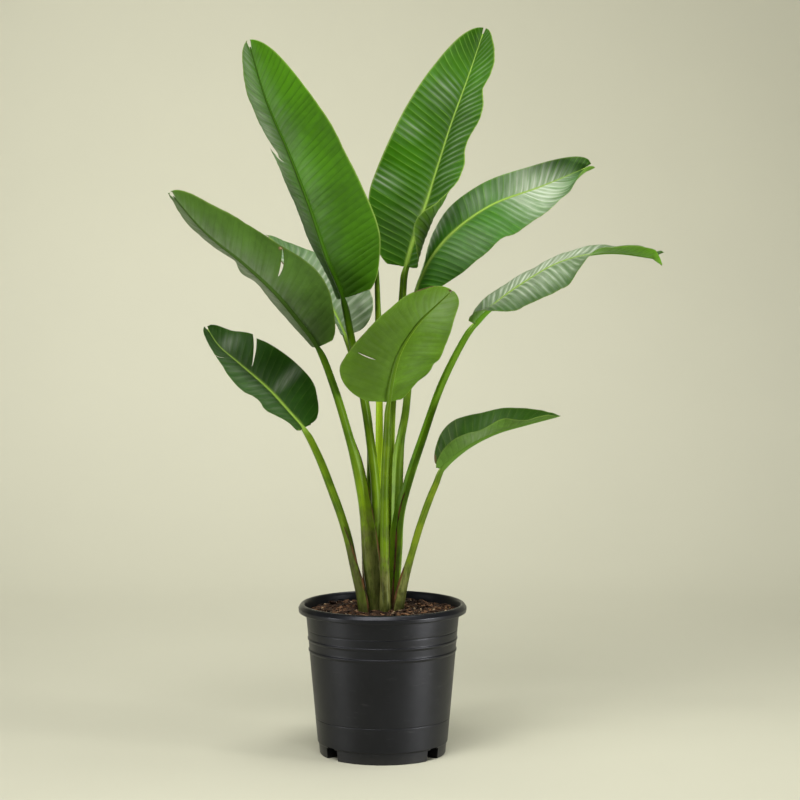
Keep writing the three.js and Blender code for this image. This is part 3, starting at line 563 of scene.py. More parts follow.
def blade_point(leaf, line, r, v):
    """A point on the blade, how far along it lies as a share, and how far out in millimetres."""
    side = -1 if v < 0 else 1
    share = abs(v)
    half = leaf["left"] if side < 0 else leaf["right"]
    fullness = outline(leaf, r, side)
    sweep = SWEEP * math.sin(math.pi * r ** 0.9) * share ** SWEEP_POWER
    lobe = LOBE_DROP * math.exp(-((r / LOBE_SPAN) ** 2)) * share
    q = r + sweep - lobe
    fold = math.radians(spread(leaf["fold_left"] if side < 0 else leaf["fold_right"], q))
    curl = math.radians(spread(leaf["curl_left"] if side < 0 else leaf["curl_right"], q))
    if abs(curl) < FLATTEST_CURL:
        curl = FLATTEST_CURL
    angle = fold + curl * share * fullness
    across = half / curl * (math.sin(angle) - math.sin(fold))
    out = -half / curl * (math.cos(angle) - math.cos(fold))
    for wave_side, place, width, height, waves, phase in leaf["waves"]:
        if wave_side == side:
            swell = height * share ** 2 * math.exp(-(((q - place) / width) ** 2)) * math.sin(
                2 * math.pi * (waves * q + phase))
            across -= swell * math.sin(angle)
            out += swell * math.cos(angle)
    place, normal, toward, _ = line.at(max(0.0, q * line.after))
    return place + toward * (side * across) + normal * out, q, half * share * fullness


# Meshes


def finish_mesh(bm, name, materials, scale=MM):
    """Puts a bmesh into a new object in the scene, scaled to metres."""
    bmesh.ops.scale(bm, vec=(scale, scale, scale), verts=bm.verts)
    mesh = bpy.data.meshes.new(name)
    bm.to_mesh(mesh)
    bm.free()
    for material in materials:
        mesh.materials.append(material)
    piece = bpy.data.objects.new(name, mesh)
    bpy.context.scene.collection.objects.link(piece)
    return piece


def float_layers(bm, *names):
    """New vertex attributes for the materials, by name."""
    return [bm.verts.layers.float.new(name) for name in names]


def patch(patches, kind, v, q):
    """How strongly the patches of one kind cover a place on the blade."""
    strongest = 0.0
    for patch_kind, patch_v, patch_q, half_v, half_q, strength in patches:
        if patch_kind == kind:
            away = ((v - patch_v) / half_v) ** 2 + ((q - patch_q) / half_q) ** 2
            strongest = max(strongest, strength * math.exp(-away))
    return strongest


class Sheet:
    """A blade while it is still a flat grid, with the place of every row and column."""

    def __init__(self, length, settings):
        self.rows = round(length * MM / settings.row_step)
        self.columns = settings.columns
        self.bm = bmesh.new()
        bmesh.ops.create_grid(self.bm, x_segments=2 * self.columns, y_segments=self.rows, size=1)
        self.row = self.bm.verts.layers.int.new("row")
        self.column = self.bm.verts.layers.int.new("column")
        for vert in self.bm.verts:
            vert[self.row] = round((vert.co.y + 1) / 2 * self.rows)
            vert[self.column] = round(vert.co.x * self.columns)
        first, last = BLADE_ENDS
        self.places = [min(max(crowded(i / self.rows, ROW_CROWDING), first), last)
                       for i in range(self.rows + 1)]
        self.shares = [crowded(k / self.columns, COLUMN_CROWDING) for k in range(self.columns + 1)]

    def nearest_row(self, place):
        """The row nearest to a place along the blade."""
        return min(range(self.rows + 1), key=lambda i: abs(self.places[i] - place))

    def across(self, vert):
        """How far out a corner lies, from -1 at the left margin to 1 at the right one."""
        column = vert[self.column]
        return math.copysign(self.shares[abs(column)], column) if column else 0.0

    def tear(self, row, side, inner, outer):
        """Parts the sheet along a row, from one place across to another."""
        torn = [e for e in self.bm.edges
                if all(v[self.row] == row and inner <= self.across(v) * side <= outer for v in e.verts)]
        bmesh.ops.split_edges(self.bm, edges=torn)

    def slit(self, row):
        """Parts the sheet along its midrib, from a row to the tip."""
        middle = [e for e in self.bm.edges
                  if all(v[self.column] == 0 and v[self.row] >= row for v in e.verts)]
        bmesh.ops.split_edges(self.bm, edges=middle)


def pulled_open(sheet, tears, length, vert):
    """Where the tears pull a corner: along and across the blade, how far, and how torn it is there."""
    row, v = vert[sheet.row], sheet.across(vert)
    place = sheet.places[row]
    furthest = max(w[sheet.row] for f in vert.link_faces for w in f.verts)
    r, reach, push, torn = place, v, 0.0, 0.0
    for side, tear_row, inner, outer, gap, flap, lean in tears:
        if v * side > 0:
            skew = min(abs(v) / inner, 1) * (1 - abs(v)) / (1 - inner)
            r -= lean * skew * math.exp(-(((place - sheet.places[tear_row]) / LEAN_SPAN) ** 2))
        if not inner < v * side <= outer:
            continue
        beyond = row > tear_row or (row == tear_row and furthest > row)
        t = (v * side - inner) / (outer - inner)
        t = t if outer == 1 else math.sin(math.pi * t)
        away = abs(place - sheet.places[tear_row])
        near = math.exp(-away * length / (3 * gap))
        push += TEAR_OPENING[0 if beyond else 1] * gap * t * near
        torn = max(torn, t * math.exp(-away * length / DRY_LIP))
        if beyond:
            reach = v - side * flap * t * math.exp(-((away / FLAP_SPAN) ** 2))
    return r, reach, push, torn


def vein_place(q, v, lateral, length, seed):
    """Which side vein runs through a place on the blade, in millimetres along the midrib."""
    lean = math.radians(spread(VEIN_LEAN, q))
    reach, within = VEIN_START
    vein = q * length - lateral / math.tan(lean) + reach * math.exp(-lateral / within)
    side = -1 if v < 0 else 1
    wander, stretch = VEIN_WANDER
    return vein + wander * noise.noise((vein / stretch, seed + 3 * side, 0.5))


def lay_out(sheet, leaf, line, tears, slit_row, tone, seed):
    """Lays the sheet out along its centre line. Gives each corner's spot on the blade."""
    painted_sheen, dry, deep, edge, rib = float_layers(sheet.bm, "painted_sheen", "dry", "deep", "edge", "rib")
    slit_place = sheet.places[slit_row]
    spots = {}
    for vert in sheet.bm.verts:
        v = sheet.across(vert)
        outward = v or sum(w[sheet.column] for f in vert.link_faces for w in f.verts)
        r, reach, push, torn = pulled_open(sheet, tears, line.after, vert)
        point, q, lateral = blade_point(leaf, line, r, reach)
        _, normal, toward, tangent = line.at(q * line.after)
        point += tangent * push + normal * (push * 0.3)
        opening = max(0.0, r - slit_place) / (1 - slit_place)
        point += toward * math.copysign(leaf["slit"] * 0.6 * opening * (1 - abs(v)), outward)
        if "prongs" in leaf:
            point += normal * (leaf["prongs"][0 if outward < 0 else 1] * opening)
        rib_half = leaf["stalk_half"][-1] * (1 - r) + 1.0
        half = leaf["left"] if v < 0 else leaf["right"]
        margin = half * outline(leaf, r, -1 if v < 0 else 1) * (1 - abs(v))
        # How much painted sheen is painted here, and how much darker green and how dry the blade is
        vert[painted_sheen] = patch(tone["patches"], "painted_sheen", v, q)
        vert[deep] = patch(tone["patches"], "deep", v, q)
        vert[dry] = max(patch(tone["patches"], "dry", v, q), 0.5 * torn)
        vert[edge] = 1 - smooth(0.5, 2.4, margin)
        vert[rib] = (1 - smooth(0.35, 0.8, lateral / rib_half)) * (1 - smooth(0.82, 0.97, q))
        spots[vert] = Spot(q, v, lateral, margin, vein_place(q, v, lateral, line.after, seed), rib_half)
        vert.co = point
    return spots


def pleat(bm, spots, tone, seed, settings):
    """Lifts the blade into a pleat between every two side veins, and into slow waves."""
    bm.normal_update()
    for vert, (q, v, lateral, margin, vein, rib_half) in spots.items():
        side = -1 if v < 0 else 1
        x = (vein * MM / settings.pleat_spacing) % 1.0
        ridge = abs(2 * x - 1) ** PLEAT_POWER
        fade = smooth(rib_half * 0.6, rib_half * 0.6 + 9, lateral) * (0.3 + 0.7 * smooth(1, 14, margin))
        fade *= (1 - 0.8 * smooth(0.9, 1.0, q)) * (0.75 + 0.5 * noise.noise((vein / 31, seed, abs(v) * 1.5)))
        lift = (ridge - PLEAT_SINK) * settings.pleat_height / MM * fade * tone["pleat"]
        slow = noise.noise((vein / SLOW_WAVES[1], seed + 7 * side, 2.5))
        small = noise.noise((vein / SMALL_WAVES[1], seed + 7 * side, abs(v) * 2))
        lift += SLOW_WAVES[0] * abs(v) ** 1.5 * slow
        lift += SMALL_WAVES[0] * abs(v) * small
        vert.co += vert.normal * lift


def grow_blade(name, leaf, line, settings):
    """The blade as a pleated sheet with its tears and its tip's slit open."""
    tone = TONES[name]
    seed = sum(ord(c) for c in name) % 97
    sheet = Sheet(line.after, settings)
    tears = []
    for side, place, inner, outer, gap, flap, lean in leaf["tears"]:
        row = sheet.nearest_row(place)
        sheet.tear(row, side, inner, outer)
        tears.append((side, row, inner, outer, gap, flap, lean))
    slit_row = sheet.nearest_row(SLIT_START)
    sheet.slit(slit_row)
    spots = lay_out(sheet, leaf, line, tears, slit_row, tone, seed)
    pleat(sheet.bm, spots, tone, seed, settings)

    # Across and along the veins, in vein spacings, with the left half's places below 0
    spacing = settings.pleat_spacing / MM
    veins = sheet.bm.loops.layers.uv.new("veins")
    for face in sheet.bm.faces:
        face.smooth = True
        for loop in face.loops:
            spot = spots[loop.vert]
            loop[veins].uv = (math.copysign(spot.lateral, spot.v) / spacing, spot.vein / spacing)
    blade = finish_mesh(sheet.bm, name + "_blade", blade_materials(name, tone))
    solid = blade.modifiers.new("Thickness", "SOLIDIFY")
    solid.thickness = settings.thickness
    solid.offset = 0
    solid.material_offset = 1
    solid.material_offset_rim = 2
    return blade


def tube(sides, rings):
    """A closed tube of quads from z 0 to 1, with a cap at each end."""
    bm = bmesh.new()
    bmesh.ops.create_cone(bm, cap_ends=True, cap_tris=False, segments=sides, radius1=1, radius2=1, depth=1)
    uprights = [e for e in bm.edges if abs(e.verts[0].co.z - e.verts[1].co.z) > 0.5]
    bmesh.ops.subdivide_edges(bm, edges=uprights, cuts=rings - 1, use_grid_fill=False)
    bmesh.ops.translate(bm, vec=(0, 0, 0.5), verts=bm.verts)
    return bm


def stalk_point(leaf, line, s, c, d):
    """A point on the skin of the stalk: an open channel on its upper side and a round back."""
    place, normal, side, _ = line.at(s)
    t = 1 + min(s, 0) / line.before
    half = spread(leaf["stalk_half"], t)
    depth = half * spread(STALK_DEPTH, t)
    channel = half * spread(CHANNEL_DEPTH, t)
    across = half * c
    if d <= 0:
        out = depth / 2 - STALK_LIP + (depth - STALK_LIP) * d
    else:
        out = depth / 2 - STALK_LIP * (1 - smooth(0, 0.25, d)) - channel * (1 - c * c)
    wing = WING * smooth(leaf["sheath"] + 8, leaf["sheath"] - 40, place.z) * smooth(0.86, 1.0, abs(c))
    across += math.copysign(wing * 0.8, c)
    out += wing * 0.5
    return place + side * across + normal * out


def rib_point(leaf, line, s, c, d):
    """A point on the skin of the midrib: a keel under the blade and a low strip on top of it."""
    r = max(s, 0.0) / line.after
    place, normal, side, _ = line.at(s)
    half = leaf["stalk_half"][-1] * (1 - r) + 1.1 * r
    depth = leaf["stalk_half"][-1] * 1.3 * (1 - r ** 0.8) + 0.5 * r ** 0.8
    if d > 0:
        return place + side * (half * 0.42 * c) + normal * (0.85 * (1 - r) * d + 0.5)
    width = (leaf["right"] if c > 0 else leaf["left"]) * max(outline(leaf, max(r, 0.02), 0), 0.05)
    on_blade = blade_point(leaf, line, max(r, 0.004), max(-1.0, min(1.0, c * half / width)))[0]
    return on_blade + normal * (depth * d - 0.3)


def skin_tube(bm, mapped):
    """Smooths a tube's sides and maps its skin by the given turn and length of each corner."""
    along = bm.loops.layers.uv.new("along")
    for face in bm.faces:
        face.smooth = len(face.verts) == 4
        for loop in face.loops:
            loop[along].uv = mapped[loop.vert]
    bmesh.ops.recalc_face_normals(bm, faces=bm.faces)


def grow_stalk(name, leaf, line, settings):
    """The stalk with its open channel and winged sheath, running on as the midrib of the blade."""
    length = line.before + line.after * 0.975
    bm = tube(settings.stalk_sides, round(length * MM / settings.stalk_step))
    husk, base, rib, keel, young = float_layers(bm, "husk", "base", "rib", "keel", "young")
    tone = TONES[name]
    foot_top, foot_tone_and_painted_shade = tone["foot"]
    mapped = {}
    for vert in bm.verts:
        turn = math.atan2(vert.co.y, vert.co.x)
        turn -= EDGE_CROWDING * math.sin(2 * turn)
        c, d = math.cos(turn), math.sin(turn)
        s = vert.co.z * length - line.before
        point = stalk_point(leaf, line, s, c, d)
        if s > RIB_BLEND[0]:
            point = point.lerp(rib_point(leaf, line, s, c, d), smooth(*RIB_BLEND, s))
        on_blade = smooth(*RIB_BLEND, s)
        height = point.z
        in_sheath = smooth(leaf["sheath"] + 6, leaf["sheath"] - 12, height)
        vert[husk] = in_sheath * smooth(0.92, 1.0, abs(c)) * smooth(-0.5, -0.1, d)
        vert[base] = smooth(foot_top, foot_top - FOOT_FADE, height)
        vert[rib] = on_blade * (1.0 if d > 0 else 0.0)
        # Painted highlight: the lit_flank side of the midrib is painted light in the young yellow, without
        # the keel colour
        painted_highlight = on_blade * smooth(0.2, 0.7, c * tone.get("lit_flank", 0))
        vert[keel] = on_blade * (1.0 if d <= 0 else 0.0) * (1 - painted_highlight)
        vert[young] = max(0.8 * painted_highlight, spread(tone["young"], 1 + min(s, 0) / line.before))
        mapped[vert] = (turn / math.pi * 12, s / 10)
        vert.co = point
    skin_tube(bm, mapped)
    # The keel colour is the under side painted darker, painted shade on the midrib's underside
    return finish_mesh(bm, name + "_stalk", [stalk_material(
        name + "_stalk", tone["stalk"], scaled(tone["under"], tone["keel"]), foot_tone_and_painted_shade)])


def grow_spear(settings):
    """The youngest leaf, still rolled up, with the free edge of the roll down its front."""
    line = Line(SPEAR_PATH, 0, lambda s, line: Vector(SPEAR_FACING))
    least, swell = SPEAR_ROLL
    bm = tube(settings.stalk_sides, round(line.after * MM / settings.stalk_step))
    _, base, _, keel, young = float_layers(bm, "husk", "base", "rib", "keel", "young")
    mapped = {}
    for vert in bm.verts:
        turn = math.atan2(vert.co.y, vert.co.x)
        t = vert.co.z
        place, normal, side, _ = line.at(t * line.after)
        wrap = (turn / math.pi + 1) / 2
        radius = spread(SPEAR_RADIUS, t) * (least + swell * smooth(0.04, 1.0, wrap))
        turned = turn + SPEAR_TWIST * t + SPEAR_START
        vert[young] = 1.4 * smooth(*SPEAR_YELLOW, place.z)
        vert[base] = smooth(*SPEAR_FOOT, place.z)
        vert[keel] = smooth(0.12, 0.0, wrap) * 0.8
        mapped[vert] = (turn / math.pi * 12, t * line.after / 10)
        vert.co = place + side * (radius * math.cos(turned)) + normal * (radius * math.sin(turned))
    skin_tube(bm, mapped)
    return finish_mesh(bm, "new_spear", [stalk_material(
        "new_spear", (0.06, 0.13, 0.006), (0.03, 0.08, 0.005), 0.3)])


def held(profile, near):
    """The profile with points added near both ends of its long stretches, which keeps them flat."""
    points = []
    for start, end in zip(profile, profile[1:]):
        a, b = Vector(start), Vector(end)
        points.append(a)
        length = (b - a).length
        if length > 4 * near:
            points += [a.lerp(b, near / length), b.lerp(a, near / length)]
    return [*points, Vector(profile[-1])]


def spun(profile, sides, rounding=0.0):
    """A solid of revolution about the upright axis. Its profile's corners are rounded first."""
    bm = bmesh.new()
    verts = [bm.verts.new((r, 0, z)) for r, z in held(profile, HOLD)]
    for pair in zip(verts, verts[1:]):
        bm.edges.new(pair)
    if rounding:
        corners = [b for a, b, c in zip(verts, verts[1:], verts[2:])
                   if (b.co - a.co).angle(c.co - b.co) > SHARP_CORNER]
        bmesh.ops.bevel(bm, geom=corners, offset=rounding, offset_type="OFFSET", segments=3, profile=0.5,
                        affect="VERTICES", clamp_overlap=True, material=-1)
    bmesh.ops.spin(bm, geom=bm.verts[:] + bm.edges[:], axis=(0, 0, 1), cent=(0, 0, 0), angle=2 * math.pi,
                   steps=sides, use_merge=True)
    bmesh.ops.remove_doubles(bm, verts=bm.verts, dist=1e-4)
    bmesh.ops.recalc_face_normals(bm, faces=bm.faces)
    return bm


def cut_notches(pot, settings):
    """Cuts the four drain notches, each with a small step in its roof, out of the pot's foot."""
    bm = bmesh.new()
    wide, narrow = settings.notch_width / 2, settings.notch_width * NOTCH_STEP[1]
    low, high = settings.notch_height, settings.notch_height * NOTCH_STEP[0]
    section = [(-wide, -low), (wide, -low), (wide, low), (narrow, low), (narrow, high), (-narrow, high),
               (-narrow, low), (-wide, low)]
    for degrees in DRAIN_ANGLES:
        front = bm.faces.new([bm.verts.new((x, -NOTCH_FRONT, z)) for x, z in section])
        grown = bmesh.ops.extrude_face_region(bm, geom=[front])["geom"]
        back = [v for v in grown if isinstance(v, bmesh.types.BMVert)]
        bmesh.ops.translate(bm, vec=(0, NOTCH_DEPTH, 0), verts=back)
        around = Matrix.Rotation(math.radians(degrees), 3, "Z")
        bmesh.ops.rotate(bm, verts=list(front.verts) + back, matrix=around)
    bmesh.ops.recalc_face_normals(bm, faces=bm.faces)
    cutter = finish_mesh(bm, "notches", [], scale=1)
    cut = pot.modifiers.new("Notches", "BOOLEAN")
    cut.object = cutter
    cut.operation = "DIFFERENCE"
    cut.solver = "EXACT"
    applied = bpy.data.meshes.new_from_object(pot.evaluated_get(bpy.context.evaluated_depsgraph_get()))
    pot.modifiers.clear()
    pot.data = applied
    applied.name = "pot_body"
    bpy.data.objects.remove(cutter)


def mould_pot(settings):
    """The nursery pot with its rolled rim, its rings and its drain notches."""
    bm = spun(POT_PROFILE, settings.sides, POT_ROUNDING)
    for face in bm.faces:
        face.smooth = True
    pot = finish_mesh(bm, "pot_body", [plastic_material()])
    cut_notches(pot, settings)
    for edge in pot.data.edges:
        edge.use_edge_sharp = False
    pot.data.set_sharp_from_angle(angle=math.radians(SHARP_EDGE))
    return pot


def soil_height(x, y):
    """Height of the soil's uneven top."""
    edge, top = SOIL_PROFILE[-1]
    inward = max(0.0, 1 - math.hypot(x, y) / edge)
    lumps = 0.0
    for width, height, layer in SOIL_LUMPS:
        lumps += noise.noise((x / width, y / width, layer)) * height
    return top + SOIL_MOUND * math.sqrt(inward) + lumps * min(1.0, 6 * inward)


def bed_soil(settings):
    """The body of the soil with a crumbly top."""
    edge, top = SOIL_PROFILE[-1]
    rings = [(edge - RING_STEP * (i + 1), top) for i in range(SOIL_RINGS)]
    bm = spun([*SOIL_PROFILE, *rings, (0, top)], SOIL_SIDES)
    for vert in bm.verts:
        if vert.co.z > top - 0.01:
            vert.co.z = soil_height(vert.co.x, vert.co.y)
    for face in bm.faces:
        face.smooth = True
    return finish_mesh(bm, "soil_bed", [soil_material("soil_bed")])


def template(create, **settings):
    """Corners and faces of a small shape made by one bmesh operator."""
    bm = bmesh.new()
    create(bm, **settings)
    corners = [vert.co.copy() for vert in bm.verts]
    faces = [[vert.index for vert in face.verts] for face in bm.faces]
    bm.free()
    return corners, faces


def chip_size(rand):
    """Length, width and thickness of a bark chip."""
    long = rand.uniform(6, 19)
    return long, long * rand.uniform(0.3, 0.65), rand.uniform(1.8, 4.6)


def crumb_size(rand):
    """Length, width and thickness of a crumb of soil."""
    grain = rand.uniform(1.2, 3.6)
    return grain, grain * rand.uniform(0.6, 1), grain * rand.uniform(0.5, 0.9)


def tumbled(rand, size):
    """Sizes a unit shape and lays it down, turned anyhow and tilted a little."""
    turned = Matrix.Rotation(rand.uniform(0, 6.3), 3, "Z") @ Matrix.Rotation(rand.uniform(-0.5, 0.5), 3, "X")
    return turned @ Matrix.Rotation(rand.uniform(-0.4, 0.4), 3, "Y") @ Matrix.Diagonal(size)


def scatter_soil(settings):
    """Bark chips, crumbs and pale grains lying on the soil, clear of the stalks."""
    rand = random.Random(settings.seed)
    bm = bmesh.new()
    (tone,) = float_layers(bm, "tone")
    chip_shape = template(bmesh.ops.create_icosphere, subdivisions=1, radius=0.5)
    crumb_shape = template(bmesh.ops.create_cube, size=0.9)
    feet = [Vector(leaf["stalk"][1]).xy for leaf in LEAVES.values()]
    wide = SOIL_PROFILE[-1][0] - CHIPS_INSIDE
    for i in range(settings.chips + settings.crumbs):
        chip = i < settings.chips
        away = wide * math.sqrt(rand.random())
        turn = rand.uniform(0, 2 * math.pi)
        x, y = away * math.cos(turn), away * math.sin(turn)
        if min((Vector((x, y)) - foot).length for foot in feet) < STALK_CLEARANCE:
            continue
        shade = rand.random() ** 1.6
        size = chip_size(rand) if chip else crumb_size(rand)
        if not chip and rand.random() < PALE_SHARE:
            shade = rand.uniform(1.5, 2.0)
        turned = tumbled(rand, size)
        centre = Vector((x, y, soil_height(x, y) + size[2] * rand.uniform(0.0, 0.45)))
        corners, faces = chip_shape if chip else crumb_shape
        verts = []
        for corner in corners:
            vert = bm.verts.new(centre + turned @ (corner * rand.uniform(0.82, 1.18)))
            vert[tone] = shade
            verts.append(vert)
        for face in faces:
            bm.faces.new([verts[k] for k in face])
    return finish_mesh(bm, "soil_chips", [soil_material("soil_chips", "tone")])


# Materials

# Fine and hair veins in the space of one main vein
FINE_VEINS = 7.0
HAIR_VEINS = 23.0

# Colours that the leaves share, from their painted sheen to their dry ends, and the look of their skin
PAINTED_SHEEN_COLOR = (0.6, 0.66, 0.53)
MIDRIB_COLOR = (0.26, 0.42, 0.06)
MARGIN_AND_RIM_HIGHLIGHT_COLOR = (0.42, 0.55, 0.12)
YOUNG_COLOR = (0.32, 0.5, 0.015)
DRY_BROWN = (0.12, 0.09, 0.035)
DRY_STRAW = (0.45, 0.37, 0.19)
SKIN_TINT = (0.85, 1.0, 0.6)
SKIN_IOR = 1.42

# Heights in metres between which the pot's plastic turns from satin to the gloss of the rim
RIM_HEIGHTS = (0.2405, 0.244)


class Nodes:
    """Adds nodes to a tree. An input is a value, or another node's output to join to it."""

    def __init__(self, tree):
        self.tree = tree

    def add(self, kind, inputs=None, **settings):
        node = self.tree.nodes.new(kind)
        for key, value in settings.items():
            setattr(node, key, value)
        for key, value in (inputs or {}).items():
            if isinstance(value, bpy.types.NodeSocket):
                self.tree.links.new(value, node.inputs[key])
            elif isinstance(value, tuple) and node.inputs[key].type == "RGBA":
                node.inputs[key].default_value = (*value[:3], 1)
            else:
                node.inputs[key].default_value = value
        return node

    def math(self, operation, a, b=0.0):
        return self.add("ShaderNodeMath", {0: a, 1: b}, operation=operation).outputs[0]

    def mix(self, factor, a, b, blend="MIX"):
        node = self.add("ShaderNodeMix", {0: factor, 6: a, 7: b}, data_type="RGBA", blend_type=blend)
        return node.outputs[2]

    def ramp(self, value, low, high, start=0.0, end=1.0):
        node = self.add("ShaderNodeMapRange", {0: value, 1: low, 2: high, 3: start, 4: end},
                        interpolation_type="SMOOTHSTEP")
        return node.outputs[0]

    def noise(self, vector, scale, detail=3.0, roughness=0.5):
        inputs = {"Vector": vector, "Scale": scale, "Detail": detail, "Roughness": roughness}
        return self.add("ShaderNodeTexNoise", inputs).outputs[0]

    def stretch(self, vector, *factors):
        return self.add("ShaderNodeVectorMath", {0: vector, 1: factors}, operation="MULTIPLY").outputs[0]

    def bump(self, strength, distance, height):
        inputs = {"Strength": strength, "Distance": distance, "Height": height}
        return self.add("ShaderNodeBump", inputs).outputs[0]

    def attribute(self, name):
        return self.add("ShaderNodeAttribute", attribute_name=name).outputs["Fac"]

    def uv(self, name):
        return self.add("ShaderNodeUVMap", uv_map=name).outputs[0]

    def place(self):
        return self.add("ShaderNodeTexCoord").outputs["Object"]

    def group(self, tree, **inputs):
        return self.add("ShaderNodeGroup", inputs, node_tree=tree).outputs


def new_group(name, inputs, outputs, fill):
    """The node group of that name, made and filled the first time it is asked for."""
    group = bpy.data.node_groups.get(name)
    if group is None:
        group = bpy.data.node_groups.new(name, "ShaderNodeTree")
        for label, kind, default in inputs:
            socket = group.interface.new_socket(label, in_out="INPUT", socket_type=kind)
            if default is not None:
                socket.default_value = default
        for label in outputs:
            group.interface.new_socket(label, in_out="OUTPUT", socket_type="NodeSocketFloat")
        nodes = Nodes(group)
        given = nodes.add("NodeGroupInput").outputs
        result = nodes.add("NodeGroupOutput").inputs
        for label, value in fill(nodes, given).items():
            group.links.new(value, result[label])
    return group


def vein_group():
    """Side veins on the vein map, one main vein a unit: lines, height and painted sheen between them."""

    def fill(nodes, given):
        across = nodes.add("ShaderNodeSeparateXYZ", {0: given["Map"]}).outputs
        wander = nodes.noise(nodes.stretch(given["Map"], 0.25, 1.6, 1), 1.0, 2)
        along = nodes.math("ADD", across[1], nodes.math("MULTIPLY", wander, 0.12))
        main = nodes.math("PINGPONG", across[1], 0.5)
        fine = nodes.math("PINGPONG", nodes.math("MULTIPLY", along, FINE_VEINS), 0.5)
        hair = nodes.math("PINGPONG", nodes.math("MULTIPLY", along, HAIR_VEINS), 0.5)
        height = nodes.math("ADD", nodes.ramp(fine, 0.0, 0.4), nodes.math("MULTIPLY", hair, 0.5))
        phase = nodes.math("FRACT", across[1])
        flank = nodes.math("MULTIPLY", nodes.ramp(phase, 0.04, 0.2), nodes.ramp(phase, 0.55, 0.25))
        broken = nodes.noise(nodes.stretch(given["Map"], 0.22, 1.7, 1), 1.0, 3, 0.6)
        stripes = nodes.math("MULTIPLY", nodes.math("SUBTRACT", flank, 1.0), given["Striping"])
        torn_sheen = nodes.ramp(broken, 0.3, 0.66, 0.45, 1.1)
        sheen = nodes.math("MULTIPLY", nodes.math("ADD", stripes, 1.0), torn_sheen)
        patchy = nodes.noise(nodes.stretch(given["Map"], 0.35, 0.9, 1), 1.0, 3, 0.6)
        uneven = nodes.ramp(patchy, 0.35, 0.6, 0.4, 1.1)
        main_lines = nodes.math("MULTIPLY", nodes.ramp(main, 0.0, 0.1, 1.0, 0.0), uneven)
        fine_lines = nodes.ramp(fine, 0.0, 0.28, 1.0, 0.0)
        return {"Main": main_lines, "Fine": fine_lines, "Sheen": sheen, "Height": height}

    inputs = [("Map", "NodeSocketVector", None), ("Striping", "NodeSocketFloat", 0.0)]
    return new_group("Leaf veins", inputs, ("Main", "Fine", "Sheen", "Height"), fill)


def mottle_group():
    """Unevenness from 0 to 1, of broad patches with fine ones in them."""

    def fill(nodes, given):
        broad = nodes.noise(given["Place"], given["Broad"], 2)
        fine = nodes.noise(given["Place"], given["Fine"], 4, 0.6)
        both = nodes.math("ADD", nodes.math("MULTIPLY", broad, 0.62), nodes.math("MULTIPLY", fine, 0.38))
        return {"Value": nodes.ramp(both, 0.34, 0.66)}

    inputs = [("Place", "NodeSocketVector", None), ("Broad", "NodeSocketFloat", 12.0),
              ("Fine", "NodeSocketFloat", 90.0)]
    return new_group("Mottle", inputs, ("Value",), fill)


def new_material(name):
    """An empty material, its nodes and the socket that its surface joins."""
    material = bpy.data.materials.new(name)
    material.use_nodes = True
    material.node_tree.nodes.clear()
    nodes = Nodes(material.node_tree)
    return material, nodes, nodes.add("ShaderNodeOutputMaterial").inputs[0]


def scaled(color, factor):
    """A darker or lighter colour."""
    return tuple(c * factor for c in color)


